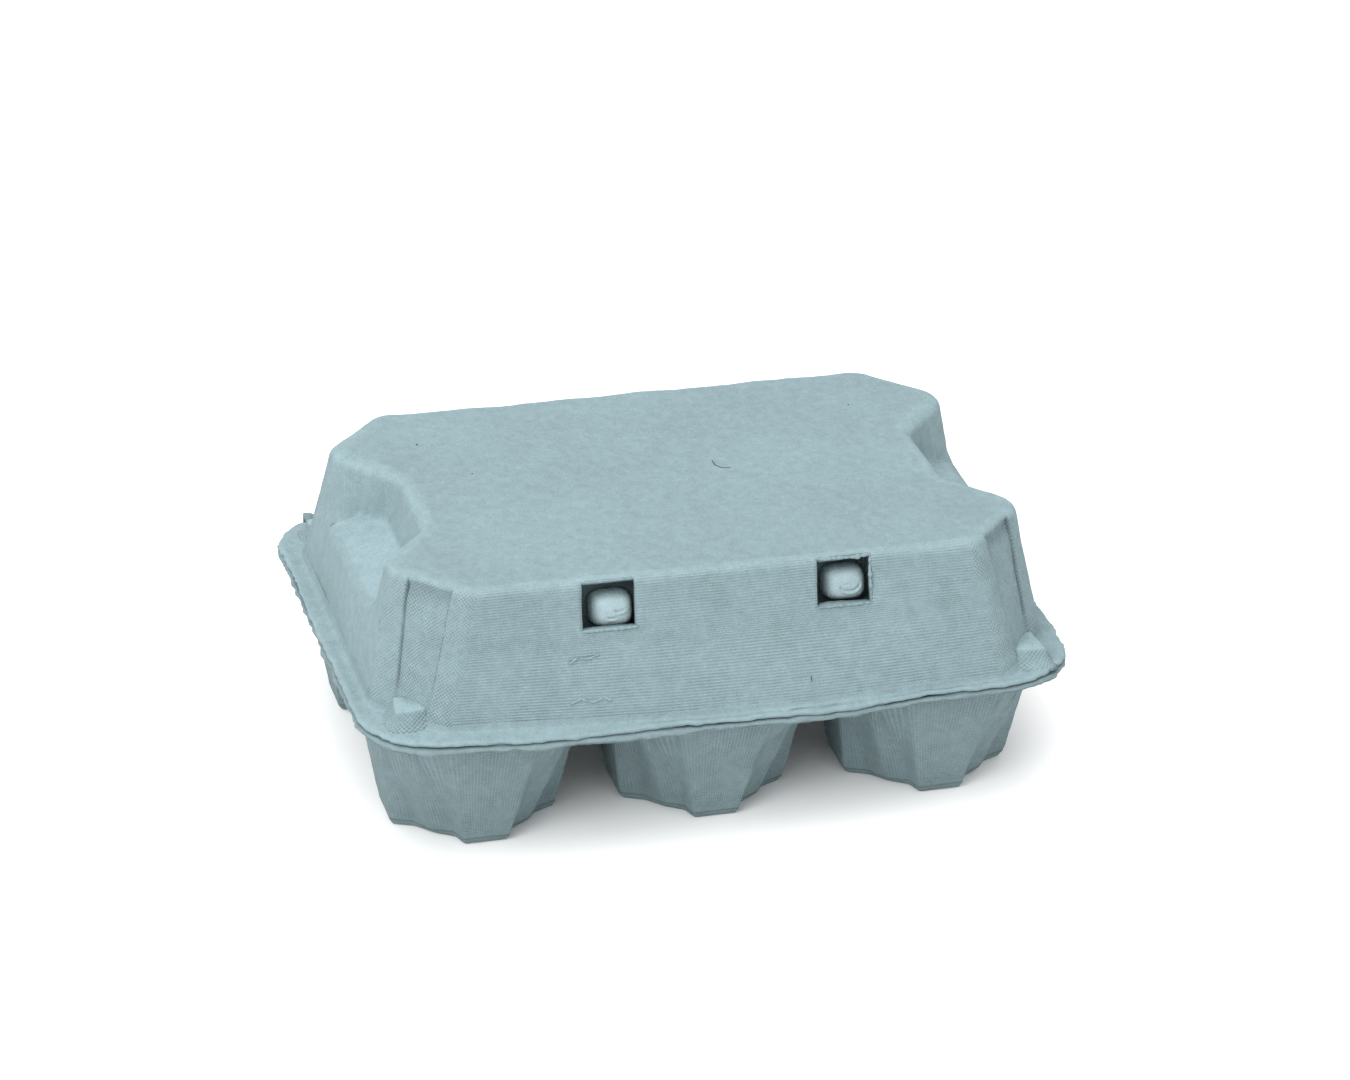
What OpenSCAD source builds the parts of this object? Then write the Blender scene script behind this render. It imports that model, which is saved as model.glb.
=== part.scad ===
// Six-egg carton in moulded pulp: a tray of six fluted cups, a hinged lid and a sprung latch flap.
// X runs along the length, the front is -Y, and the cups stand on Z = 0.

/* [Carton] */
// Length over the rim
rim_length = 154; // [150:1:160]
// Distance from the front of the rim to the back of the hinge fold
rim_depth = 104; // [102:1:108]
// Height of the closed carton
total_height = 60; // [56:1:64]
// Height of the line where the lid meets the tray
parting_height = 30.4; // [29:0.2:32]
// Radius of the rim's corners
rim_corner_radius = 15; // [12:1:18]

/* [Pulp] */
// Thickness of the walls, the cups and the lid's top
wall = 1.4; // [1:0.1:1.6]
// Thickness of each of the two flanges that meet at the rim
flange = 1.2; // [1:0.1:1.6]

/* [Egg cups] */
// Distance between the centres of neighbouring cups
cup_pitch = 50; // [49:0.5:51]
// Half the width of a cup's mouth
mouth_half = 22.6; // [21:0.1:23]

/* [Latch] */
// Width of each window in the front wall
window_width = 11.4; // [10:0.2:13]
// Height of each window
window_height = 9.6; // [8:0.2:11]
// Distance from the middle of the carton to the middle of a window
window_offset = 25.3; // [24:0.1:27]

/* [Lid supports] */
// Radius of a support post at its base
post_base_radius = 7.4; // [6:0.2:8]
// Radius of a support post at its top
post_top_radius = 4; // [3:0.2:5]

/* [Hidden] */

pulp_colour = [0.62, 0.73, 0.77];
cup_colour = [0.56, 0.67, 0.71];
latch_colour = [0.66, 0.77, 0.81];
round_segments = 64;
sphere_segments = 24;
outline_corner_steps = 2;
overlap_for_cut = 1;

// Distance kept between surfaces that move past each other
clearance = 0.3;

// The lid's hinge: a round fold along the back edge of the rim
hinge_radius = 1.1;
hinge_y = rim_depth / 2 - hinge_radius;
hinge_overrun = 5.6;
hinge_half_length = rim_length / 2 - rim_corner_radius + hinge_overrun;

// The tray's deck and the lid's flange meet at the parting line
deck_bottom = parting_height - flange;
flange_top = parting_height + flange;
rim_front = -rim_depth / 2;

// Width of the flange round the lid's foot: at the ends, and at the front and back
flange_width = [3.8, 5.2];
// How far the ends and the long walls lean in between the lid's foot and its top
lid_lean = [5, 4.5];
lid_foot_half = [rim_length / 2, rim_depth / 2] - flange_width;
lid_top_half = lid_foot_half - lid_lean;
// Length cut off each corner along both walls
lid_foot_cut = 12;
lid_top_cut = 13.7;
// Leg sum of the cut corners: x + y is this on a corner's face
lid_foot_corner = lid_foot_half[0] + lid_foot_half[1] - lid_foot_cut;
lid_top_corner = lid_top_half[0] + lid_top_half[1] - lid_top_cut;
// Scoop in the middle of each end: a pocket with a sloping floor and steep sides
scoop_bottom = total_height - 14;
scoop_depth = 11.7;
// Rise of the scoop's floor, and the share of the scoop's depth that the floor spans
scoop_floor_rise = 4;
scoop_floor_share = 0.9;
// Half width of the scoop at its inner wall, and at its outer end: at the floor and at the lid's top
scoop_inner_half = 11;
scoop_outer_half = [20.5, 24];
scoop_side_run = 2;
// Least length of flat wall between the scoop and a cut corner
lobe_flat = 1;
// Rounded edge round the lid's top: drop and inset of each of its three rings
ridge_rings = [[0, 1.3], [0.7, 0.4], [2.4, 0]];
// Heights of the rings between the lid's foot and its ridge
lid_levels = [
    flange_top, (flange_top + scoop_bottom) / 2, scoop_bottom,
    scoop_bottom + scoop_floor_rise, scoop_bottom + 2 * scoop_floor_rise
];
// How far each corner of the lid's outline is rounded: scoop, lobe, and both ends of the cut corner
lid_rounding = [1.5, 2, 2.2, 2.2];

// Windows at the top of the front wall
window_drop = 0.6;
window_top = total_height - window_drop;
window_reach = rim_depth / 2 - lid_top_half[1] + wall + overlap_for_cut;

// The latch flap stands on the front rim and leans back, inside the lid's front wall
latch_bead_radius = 0.8;
latch_setback = 8.9;
latch_lift = 0.2;
latch_axis = [rim_front + latch_setback, parting_height + latch_bead_radius + latch_lift];
latch_lean = 13.8;
latch_drop = 2.5;
latch_height = (total_height - latch_drop - latch_axis[1]) / cos(latch_lean);
latch_base_half = 52;
latch_top_half = 45;
latch_corner = 4;
strip_thickness = flange / 2;
strip_front = rim_front + 1;
strip_gap = 0.1;
strip_back = latch_axis[0] - latch_bead_radius - strip_gap;

// Buttons on the flap: width and height, distance up the panel, and reach in front of the hinge axis
button_size = [10, 8];
button_drop = 4.5;
button_rise = latch_height - button_drop;
button_reach = 3.3;
button_round = 2.4;

// Gap between the support posts and the lid
post_gap = 0.6;

// Stacking lugs in the corners of the lid
lug_height = 3.6;
lug_top = flange_top + lug_height;
lug_width = 7.4;
lug_reach = 5.2;
lug_draft = 0.6;
function corner_face(z) = mix(lid_foot_corner, lid_top_corner, lid_rise(z)) / sqrt(2);
lug_tip = corner_face(flange_top) + lug_reach;
lug_point = 2;
lug_shoulder = lug_tip - lug_point;
corner_middle = (lid_foot_half[0] - lid_foot_half[1]) / sqrt(2);

// ---- Point lists -------------------------------------------------------------------------------

function mix(a, b, t) = a + (b - a) * t;
function clamp01(t) = max(0, min(1, t));
function toward(a, b, reach) = a + (b - a) * min(reach / norm(b - a), 0.5);

// A corner b between a and c, rounded by a quadratic curve that starts this far from the corner
function soft_corner(a, b, c, reach, steps) = [
    for (i = [0:steps])
        let (t = i / steps, s = toward(b, a, reach), e = toward(b, c, reach))
            s * (1 - t) * (1 - t) + b * 2 * t * (1 - t) + e * t * t
];

// A closed outline from corners [x, y, reach]
function soft_outline(corners, steps) = [
    for (i = [0:len(corners) - 1])
        let (
            n = len(corners),
            a = corners[(i + n - 1) % n],
            b = corners[i],
            c = corners[(i + 1) % n]
        )
            each soft_corner([a[0], a[1]], [b[0], b[1]], [c[0], c[1]], b[2], steps)
];

function reversed(list) = [for (i = [len(list) - 1:-1:0]) list[i]];
function flip_x(list) = [for (p = reversed(list)) [-p[0], p[1], p[2]]];
function flip_y(list) = [for (p = reversed(list)) [p[0], -p[1], p[2]]];

// A quarter from +X round to +Y, mirrored into a full anticlockwise set of corners
function four_quarters(quarter) =
    let (right_half = concat(flip_y(quarter), quarter))
        concat(right_half, flip_x(right_half));

function at_height(outline, z) = [for (p = outline) [p[0], p[1], z]];
function scaled(outline, factor) = [for (p = outline) p * factor];

// ---- Egg cup outlines ---------------------------------------------------------------------------

// Corners of a quarter of a cup: side lobe, diagonal face, front lobe
cup_floor_quarter = [[17.7, 5.5, 1.2], [13.6, 8.2, 1.2], [6.4, 13.9, 1.2], [4.6, 16.1, 1.2]];
lobe_half = 9.6;
// How far the ends of the diagonal face stand back from the mouth's square: beside it and along it
mouth_cut = [1.3, 7.6];
cup_mouth_quarter = [
    [mouth_half, lobe_half, 2.5],
    [mouth_half - mouth_cut[0], mouth_half - mouth_cut[1], 4],
    [mouth_half - mouth_cut[1], mouth_half - mouth_cut[0], 4],
    [lobe_half, mouth_half, 2.5]
];
function cup_outline(rise) = soft_outline(
    four_quarters([
        for (i = [0:len(cup_floor_quarter) - 1]) mix(cup_floor_quarter[i], cup_mouth_quarter[i], rise)
    ]),
    outline_corner_steps
);
// The wall bulges a little between the floor and the mouth
cup_bulge = 0.88;
function cup_rise(z) = pow(clamp01(z / deck_bottom), cup_bulge);
function cup_inner(outline) = scaled(outline, 1 - wall / mouth_half);

cup_levels = [1.2, 8, 16, 23, deck_bottom];
cup_foot_inset = 0.95;
cup_floor_round = 0.8;

cup_outer_rings = concat(
    [at_height(scaled(cup_outline(0), cup_foot_inset), 0)],
    [for (z = cup_levels) at_height(cup_outline(cup_rise(z)), z)]
);
cup_inner_rings = concat(
    [at_height(scaled(cup_inner(cup_outline(0)), cup_foot_inset), wall)],
    [for (z = cup_levels) at_height(cup_inner(cup_outline(cup_rise(z))), max(z, wall + cup_floor_round))]
);

// ---- Lid outlines --------------------------------------------------------------------------------

// 0 at the lid's foot, 1 at its top
function lid_rise(z) = clamp01((z - flange_top) / (total_height - flange_top));

// Share of the scoop's depth reached at a height
function scoop_above(z) =
    clamp01((z - scoop_bottom - scoop_floor_rise) / (total_height - scoop_bottom - scoop_floor_rise));
function scoop_floor(z) = clamp01((z - scoop_bottom) / scoop_floor_rise);
function scoop_cut(z) = scoop_floor_share * scoop_floor(z) + (1 - scoop_floor_share) * scoop_above(z);

// Outline of the lid at a height, moved inwards by inset
function lid_outline(z, inset) =
    let (
        rise = lid_rise(z),
        half = mix(lid_foot_half, lid_top_half, rise) - [inset, inset],
        corner = mix(lid_foot_corner, lid_top_corner, rise) - inset * sqrt(2),
        cut = scoop_cut(z),
        inner_x = half[0] - scoop_depth * cut,
        outer_top = mix(scoop_outer_half[0], scoop_outer_half[1], scoop_above(z)) + inset,
        outer_y = min(outer_top, corner - half[0] - lobe_flat),
        inner_y = mix(outer_y - scoop_side_run, scoop_inner_half + inset, cut)
    )
        soft_outline(
            four_quarters([
                [inner_x, inner_y, lid_rounding[0]],
                [half[0], outer_y, lid_rounding[1]],
                [half[0], corner - half[0], lid_rounding[2]],
                [corner - half[1], half[1], lid_rounding[3]]
            ]),
            outline_corner_steps
        );

// Rings of the lid's skin from its top down: the outside when inset is 0, and the inside when it is the wall
function lid_rings(inset) = concat(
    [
        for (step = ridge_rings)
            at_height(
                lid_outline(total_height - step[0], step[1] + inset),
                total_height - step[0] - inset
            )
    ],
    reversed([for (z = lid_levels) at_height(lid_outline(z, inset), z > flange_top ? z - inset : z)]),
    [at_height(lid_outline(flange_top, inset), parting_height)]
);

// ---- Building blocks -----------------------------------------------------------------------------

// A closed bowl: rings run from the closed end to the open end, outer and inner the same count.
// way is 1 when the closed end is the lower one, and -1 when it is the upper one.
module bowl(outer_rings, inner_rings, way) {
    count = len(outer_rings[0]);
    levels = len(outer_rings);
    inner_start = count * levels;
    function side(start, k, i, flip) =
        let (
            j = (i + 1) % count,
            lower = start + k * count,
            upper = lower + count,
            quad = [lower + i, upper + i, upper + j, lower + j]
        )
            flip ? reversed(quad) : quad;
    outer_flip = way < 0;
    faces = concat(
        [for (k = [0:levels - 2], i = [0:count - 1]) side(0, k, i, outer_flip)],
        [for (k = [0:levels - 2], i = [0:count - 1]) side(inner_start, k, i, !outer_flip)],
        [let (cap = [for (i = [0:count - 1]) i]) outer_flip ? reversed(cap) : cap],
        [let (cap = [for (i = [0:count - 1]) inner_start + i]) outer_flip ? cap : reversed(cap)],
        [
            for (i = [0:count - 1])
                let (
                    j = (i + 1) % count,
                    outer = (levels - 1) * count,
                    inner = inner_start + outer,
                    quad = [outer + i, inner + i, inner + j, outer + j]
                )
                    outer_flip ? reversed(quad) : quad
        ]
    );
    points = [for (ring = concat(outer_rings, inner_rings)) each ring];
    polyhedron(points = points, faces = faces);
}

// Outline of the rim: a rectangle with round corners that ends at the hinge line
module rim_outline() {
    intersection() {
        union() {
            square([rim_length - 2 * rim_corner_radius, rim_depth], center = true);
            square([rim_length, rim_depth - 2 * rim_corner_radius], center = true);
            for (x = [-1, 1], y = [-1, 1])
                translate([x * (rim_length / 2 - rim_corner_radius), y * (rim_depth / 2 - rim_corner_radius)])
                    circle(r = rim_corner_radius, $fn = round_segments);
        }
        translate([-rim_length, -rim_depth])
            square([2 * rim_length, rim_depth + hinge_y]);
    }
}

module hinge_rod(radius, half_length) {
    translate([-half_length, hinge_y, parting_height])
        rotate([0, 90, 0])
            cylinder(r = radius, h = 2 * half_length, $fn = round_segments);
}

// ---- Tray ----------------------------------------------------------------------------------------

module tray_deck() {
    color(pulp_colour)
        difference() {
            translate([0, 0, deck_bottom])
                linear_extrude(flange)
                    difference() {
                        rim_outline();
                        for (column = [-1:1], row = [-0.5, 0.5])
                            translate([column, row] * cup_pitch)
                                polygon(cup_inner(cup_outline(1)));
                        for (side = [-1, 1])
                            translate([side * cup_pitch / 2, 0])
                                circle(r = post_base_radius - wall, $fn = round_segments);
                    }
            hinge_rod(hinge_radius, rim_length);
            translate([-latch_base_half, strip_front, parting_height - strip_thickness])
                cube([2 * latch_base_half, strip_back - strip_front, strip_thickness + overlap_for_cut]);
        }
}

module egg_cup(column, row) {
    color(cup_colour)
        translate([column * cup_pitch, row * cup_pitch / 2, 0])
            bowl(cup_outer_rings, cup_inner_rings, 1);
}

// Hollow cone between four cups, which keeps the lid off the eggs
module support_post(side) {
    height = total_height - wall - post_gap - parting_height;
    color(pulp_colour)
        translate([side * cup_pitch / 2, 0, parting_height])
            difference() {
                cylinder(r1 = post_base_radius, r2 = post_top_radius, h = height, $fn = round_segments);
                translate([0, 0, -overlap_for_cut])
                    cylinder(
                        r1 = post_base_radius - wall,
                        r2 = post_top_radius - wall,
                        h = height - wall + overlap_for_cut,
                        $fn = round_segments
                    );
            }
}

// Round living hinge between the tray and the lid
module lid_hinge_fold() {
    color(pulp_colour)
        hinge_rod(hinge_radius, hinge_half_length);
}

// Root of the latch flap, folded back on the front rim
module latch_fold_strip() {
    color(latch_colour)
        translate([-latch_base_half, strip_front, parting_height - strip_thickness])
            cube([2 * latch_base_half, strip_back - strip_front, strip_thickness]);
}

// ---- Lid -----------------------------------------------------------------------------------------

// Cutters for the latch windows
module windows() {
    for (side = [-1, 1])
        translate([side * window_offset - window_width / 2, rim_front, window_top - window_height])
            cube([window_width, window_reach, window_height]);
}

module lid_shell() {
    color(pulp_colour)
        difference() {
            bowl(lid_rings(0), lid_rings(wall), -1);
            windows();
        }
}

module lid_flange() {
    color(pulp_colour)
        difference() {
            translate([0, 0, parting_height])
                linear_extrude(flange)
                    difference() {
                        rim_outline();
                        polygon(lid_outline(flange_top, 0));
                    }
            hinge_rod(hinge_radius + clearance, hinge_half_length + clearance);
        }
}

// Small step in a corner of the lid that keeps stacked cartons in place
module stacking_lug(x_side, y_side) {
    color(pulp_colour)
        mirror([x_side < 0 ? 1 : 0, 0, 0])
            mirror([0, y_side < 0 ? 1 : 0, 0])
                rotate([0, 0, 45])
                    translate([0, -corner_middle, 0])
                        intersection() {
                            rotate([90, 0, 0])
                                linear_extrude(lug_width, center = true)
                                    polygon([
                                        [corner_face(flange_top), flange_top],
                                        [lug_tip, flange_top],
                                        [lug_tip - lug_draft, lug_top],
                                        [corner_face(lug_top), lug_top]
                                    ]);
                            linear_extrude(total_height)
                                polygon([
                                    [0, -lug_width / 2],
                                    [lug_shoulder, -lug_width / 2],
                                    [lug_tip, 0],
                                    [lug_shoulder, lug_width / 2],
                                    [0, lug_width / 2]
                                ]);
                        }
}

// ---- Latch flap ----------------------------------------------------------------------------------

// Places its children on the flap: X along the hinge, Z up the panel, -Y out of its front face
module on_flap() {
    translate([0, latch_axis[0], latch_axis[1]])
        rotate([-latch_lean, 0, 0])
            children();
}

module flap_bead() {
    rotate([0, 90, 0])
        cylinder(r = latch_bead_radius, h = 2 * latch_base_half, center = true, $fn = round_segments);
}

module latch_hinge_bead() {
    color(latch_colour)
        on_flap()
            flap_bead();
}

module latch_panel() {
    color(latch_colour)
        on_flap()
            difference() {
                translate([0, wall - latch_bead_radius, 0])
                    rotate([90, 0, 0])
                        linear_extrude(wall)
                            polygon([
                                [-latch_base_half, 0],
                                [latch_base_half, 0],
                                [latch_top_half, latch_height - latch_corner],
                                [latch_top_half - latch_corner, latch_height],
                                [latch_corner - latch_top_half, latch_height],
                                [-latch_top_half, latch_height - latch_corner]
                            ]);
                flap_bead();
            }
}

// Pillow-shaped button that sits behind a window
module latch_button(side) {
    half = button_size / 2 - [button_round, button_round];
    color(latch_colour)
        on_flap()
            translate([side * window_offset, 0, button_rise])
                intersection() {
                    hull()
                        for (x = [-1, 1], z = [-1, 1])
                            translate([x * half[0], button_round - button_reach, z * half[1]])
                                sphere(r = button_round, $fn = sphere_segments);
                    translate([-button_size[0], -button_size[0] - latch_bead_radius, -button_size[0]])
                        cube([2 * button_size[0], button_size[0], 2 * button_size[0]]);
                }
}

tray_deck();
egg_cup(-1, -1);  // egg_cup_front_left
egg_cup(0, -1);  // egg_cup_front_middle
egg_cup(1, -1);  // egg_cup_front_right
egg_cup(-1, 1);  // egg_cup_rear_left
egg_cup(0, 1);  // egg_cup_rear_middle
egg_cup(1, 1);  // egg_cup_rear_right
support_post(-1);  // support_post_left
support_post(1);  // support_post_right
lid_hinge_fold();
latch_fold_strip();
lid_shell();
lid_flange();
stacking_lug(-1, -1);  // stacking_lug_front_left
stacking_lug(1, -1);  // stacking_lug_front_right
stacking_lug(-1, 1);  // stacking_lug_rear_left
stacking_lug(1, 1);  // stacking_lug_rear_right
latch_panel();
latch_hinge_bead();
latch_button(-1);  // latch_button_left
latch_button(1);  // latch_button_right
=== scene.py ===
"""Six-egg carton in moulded pulp.

A detailed piece takes the place of each plain CAD solid and moves with the same body. Lengths are in
millimetres until a mesh is made.
"""
import math

import bpy
import numpy as np
from mathutils import Matrix, Vector
from mathutils.geometry import delaunay_2d_cdt


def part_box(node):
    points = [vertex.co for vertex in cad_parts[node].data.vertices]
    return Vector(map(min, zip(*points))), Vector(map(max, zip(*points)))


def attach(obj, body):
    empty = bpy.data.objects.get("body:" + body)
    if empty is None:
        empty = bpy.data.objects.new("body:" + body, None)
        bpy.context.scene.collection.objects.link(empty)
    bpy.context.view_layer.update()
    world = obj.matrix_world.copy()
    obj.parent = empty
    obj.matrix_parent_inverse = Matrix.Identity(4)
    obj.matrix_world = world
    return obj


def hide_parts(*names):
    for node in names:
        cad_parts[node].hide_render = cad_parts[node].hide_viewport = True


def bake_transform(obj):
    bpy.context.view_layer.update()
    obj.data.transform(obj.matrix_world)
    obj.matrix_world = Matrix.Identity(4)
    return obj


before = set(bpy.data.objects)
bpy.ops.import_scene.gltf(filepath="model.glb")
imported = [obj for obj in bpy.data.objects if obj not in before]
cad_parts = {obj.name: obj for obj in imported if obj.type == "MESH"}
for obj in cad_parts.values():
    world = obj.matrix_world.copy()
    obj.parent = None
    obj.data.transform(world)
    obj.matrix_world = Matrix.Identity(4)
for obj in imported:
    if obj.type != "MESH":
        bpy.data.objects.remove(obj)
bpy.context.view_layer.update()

MM = 0.001
ALL_NODES = sorted(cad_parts)

# ---- Sizes, in millimetres ----


def box_mm(node):
    """Lowest and highest corner of a node, in millimetres."""
    low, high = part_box(node)
    return np.array(low) / MM, np.array(high) / MM


lid_low, lid_high = box_mm("lid_shell")
flange_low, flange_high = box_mm("lid_flange")
fold_low, fold_high = box_mm("lid_hinge_fold")
strip_low, strip_high = box_mm("latch_fold_strip")
bead_low, bead_high = box_mm("latch_hinge_bead")
post_low, post_high = box_mm("support_post_right")
cup_low, cup_high = box_mm("egg_cup_front_left")

# The thickness of the pulp.
PULP = 1.4
TOP_Z = lid_high[2]
PARTING_Z = lid_low[2]
FLANGE_Z = flange_high[2]
DECK_Z = box_mm("tray_deck")[0][2]
RIM_X = flange_high[0]
RIM_Y = -flange_low[1]
RIM_CORNER = 15.0
HINGE_Y = (fold_low[1] + fold_high[1]) / 2
HINGE_RADIUS = (fold_high[1] - fold_low[1]) / 2
HINGE_HALF = fold_high[0]
# The lid's half length and width, and the sum x + y on its cut corners, at the foot and at the top.
FOOT_HALF = lid_high[:2]
TOP_HALF = FOOT_HALF - [5.0, 4.5]
FOOT_CORNER = FOOT_HALF.sum() - 12.0
TOP_CORNER = TOP_HALF.sum() - 13.7
# The rounding of the edge between the lid's walls and its top.
RIDGE = 2.0
WINDOW_X = (19.6, 31.0)
WINDOW_Z = (TOP_Z - 10.2, TOP_Z - 0.6)
# Up to this x the columns of the front and back walls are the same at every height.
STRAIGHT_X = 44.0

# ---- Small helpers ----


def mix(a, b, t):
    """Goes from a to b as t goes from 0 to 1."""
    return a + (b - a) * t


def ramp(start, end, value):
    """0 up to start, 1 from end on, and straight between. It can run downwards, with end below start."""
    return np.clip((np.asarray(value, float) - start) / (end - start), 0, 1)


def smooth(start, end, value):
    """The same ramp with rounded ends."""
    t = ramp(start, end, value)
    return t * t * (3 - 2 * t)


def plateau(rise, fall, value):
    """Goes smoothly from 0 to 1 over the range rise, and back to 0 over the range fall."""
    return smooth(*rise, value) * (1 - smooth(*fall, value))


def bell(middle, width, value):
    """1 at the middle, about 0.4 at the width from it, and falling to 0 beyond."""
    return np.exp(-(((value - middle) / width) ** 2))


def waves(points, wavelength, seed, count=22):
    """A smooth random field at the points, mostly between -1 and 1."""
    rng = np.random.default_rng(seed)
    way = rng.normal(size=(count, 3))
    way /= np.linalg.norm(way, axis=1)[:, None]
    pace = rng.uniform(0.6, 1.5, count) * 2 * math.pi / wavelength
    phase = rng.uniform(0, 2 * math.pi, count)
    return np.cos(points @ (way * pace[:, None]).T + phase).sum(axis=1) / math.sqrt(count)


def flat_waves(outline, wavelength, seed):
    """The same field at the points of a flat outline."""
    return waves(at_height(outline, 0.0), wavelength, seed)


def line_waves(x, wavelength, seed):
    """The same field along a straight line."""
    return waves(np.column_stack([x, x * 0, x * 0]), wavelength, seed)


def full_turn(count):
    """Angles of points all the way round a circle."""
    return np.arange(count) / count * 2 * math.pi


def unit_circle(angles):
    """Flat points at those angles on a circle of radius 1."""
    return np.column_stack([np.cos(angles), np.sin(angles)])


def soft_corner(a, b, c, reach, steps):
    """Points of a quadratic curve that rounds the corner b between a and c."""
    a, b, c = (np.asarray(p, float) for p in (a, b, c))
    start = b + (a - b) * min(reach / np.linalg.norm(a - b), 0.49)
    end = b + (c - b) * min(reach / np.linalg.norm(c - b), 0.49)
    t = np.linspace(0, 1, steps + 1)[:, None]
    return start * (1 - t) ** 2 + b * 2 * t * (1 - t) + end * t**2


def between(a, b, count):
    """Points strictly between a and b."""
    t = np.linspace(0, 1, count + 2)[1:-1, None]
    return np.asarray(a) * (1 - t) + np.asarray(b) * t


def rounded_chain(start, corners, end, corner_steps, gaps):
    """A chain from start to end round corners (x, y, reach). gaps counts the points on each straight."""
    ends = np.array([start, *[corner[:2] for corner in corners], end], float)
    pieces = [ends[0][None]]
    for i, corner in enumerate(corners):
        curve = soft_corner(*ends[i:i + 3], corner[2], corner_steps)
        pieces += [between(pieces[-1][-1], curve[0], gaps[i]), curve]
    pieces += [between(pieces[-1][-1], ends[-1], gaps[-1]), ends[-1][None]]
    return np.concatenate(pieces)


def full_ring(quarter):
    """An anticlockwise ring from its first quarter, which runs from (x, 0) to (0, y)."""
    back_left = (quarter * [-1, 1])[::-1][1:]
    front_left = (quarter * [-1, -1])[1:]
    front_right = (quarter * [1, -1])[::-1][1:-1]
    return np.concatenate([quarter, back_left, front_left, front_right])


def full_values(quarter):
    """One value for each point of such a ring, from those of its first quarter."""
    back = quarter[::-1]
    return np.concatenate([quarter, back[1:], quarter[1:], back[1:-1]])


def at_height(outline, z):
    """The flat outline's points at a height, or at a height each."""
    return np.column_stack([outline, np.broadcast_to(z, len(outline))])


def add_object(name, data):
    """A new object in the scene."""
    made = bpy.data.objects.new(name, data)
    bpy.context.scene.collection.objects.link(made)
    return made


BOW_HALF = 74.0
BOW_OUT = 0.9
BOW_SAG = 1.5


def settle(points):
    """How the closed carton bows: the front of the rim sags and leans out a little between its corners."""
    x, y, z = points.T
    bow = (1 - (x / BOW_HALF) ** 2) * smooth(-20, -46, y) * plateau((12, 29), (32, 56), z)
    moved = points.copy()
    moved[:, 1] -= BOW_OUT * bow
    moved[:, 2] -= BOW_SAG * bow
    return moved


# Waves (length, size, how many) in the pulp's surface.
SWELLS = ((34.0, 0.16, 22), (11.0, 0.07, 22), (3.6, 0.030, 40), (1.7, 0.012, 60))


def unevenness(points, seed):
    """Swells and dents of the pulp, in millimetres, from waves of several lengths."""
    return sum(size * waves(points, length, seed + k, n) for k, (length, size, n) in enumerate(SWELLS))


# ---- Mesh building ----


def cells(grid, flip):
    """The four corners of every cell of a grid, in the order that a face takes them."""
    corners = [grid[:-1, :-1], grid[:-1, 1:], grid[1:, 1:], grid[1:, :-1]]
    return np.stack(corners[::-1] if flip else corners, axis=2)


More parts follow.
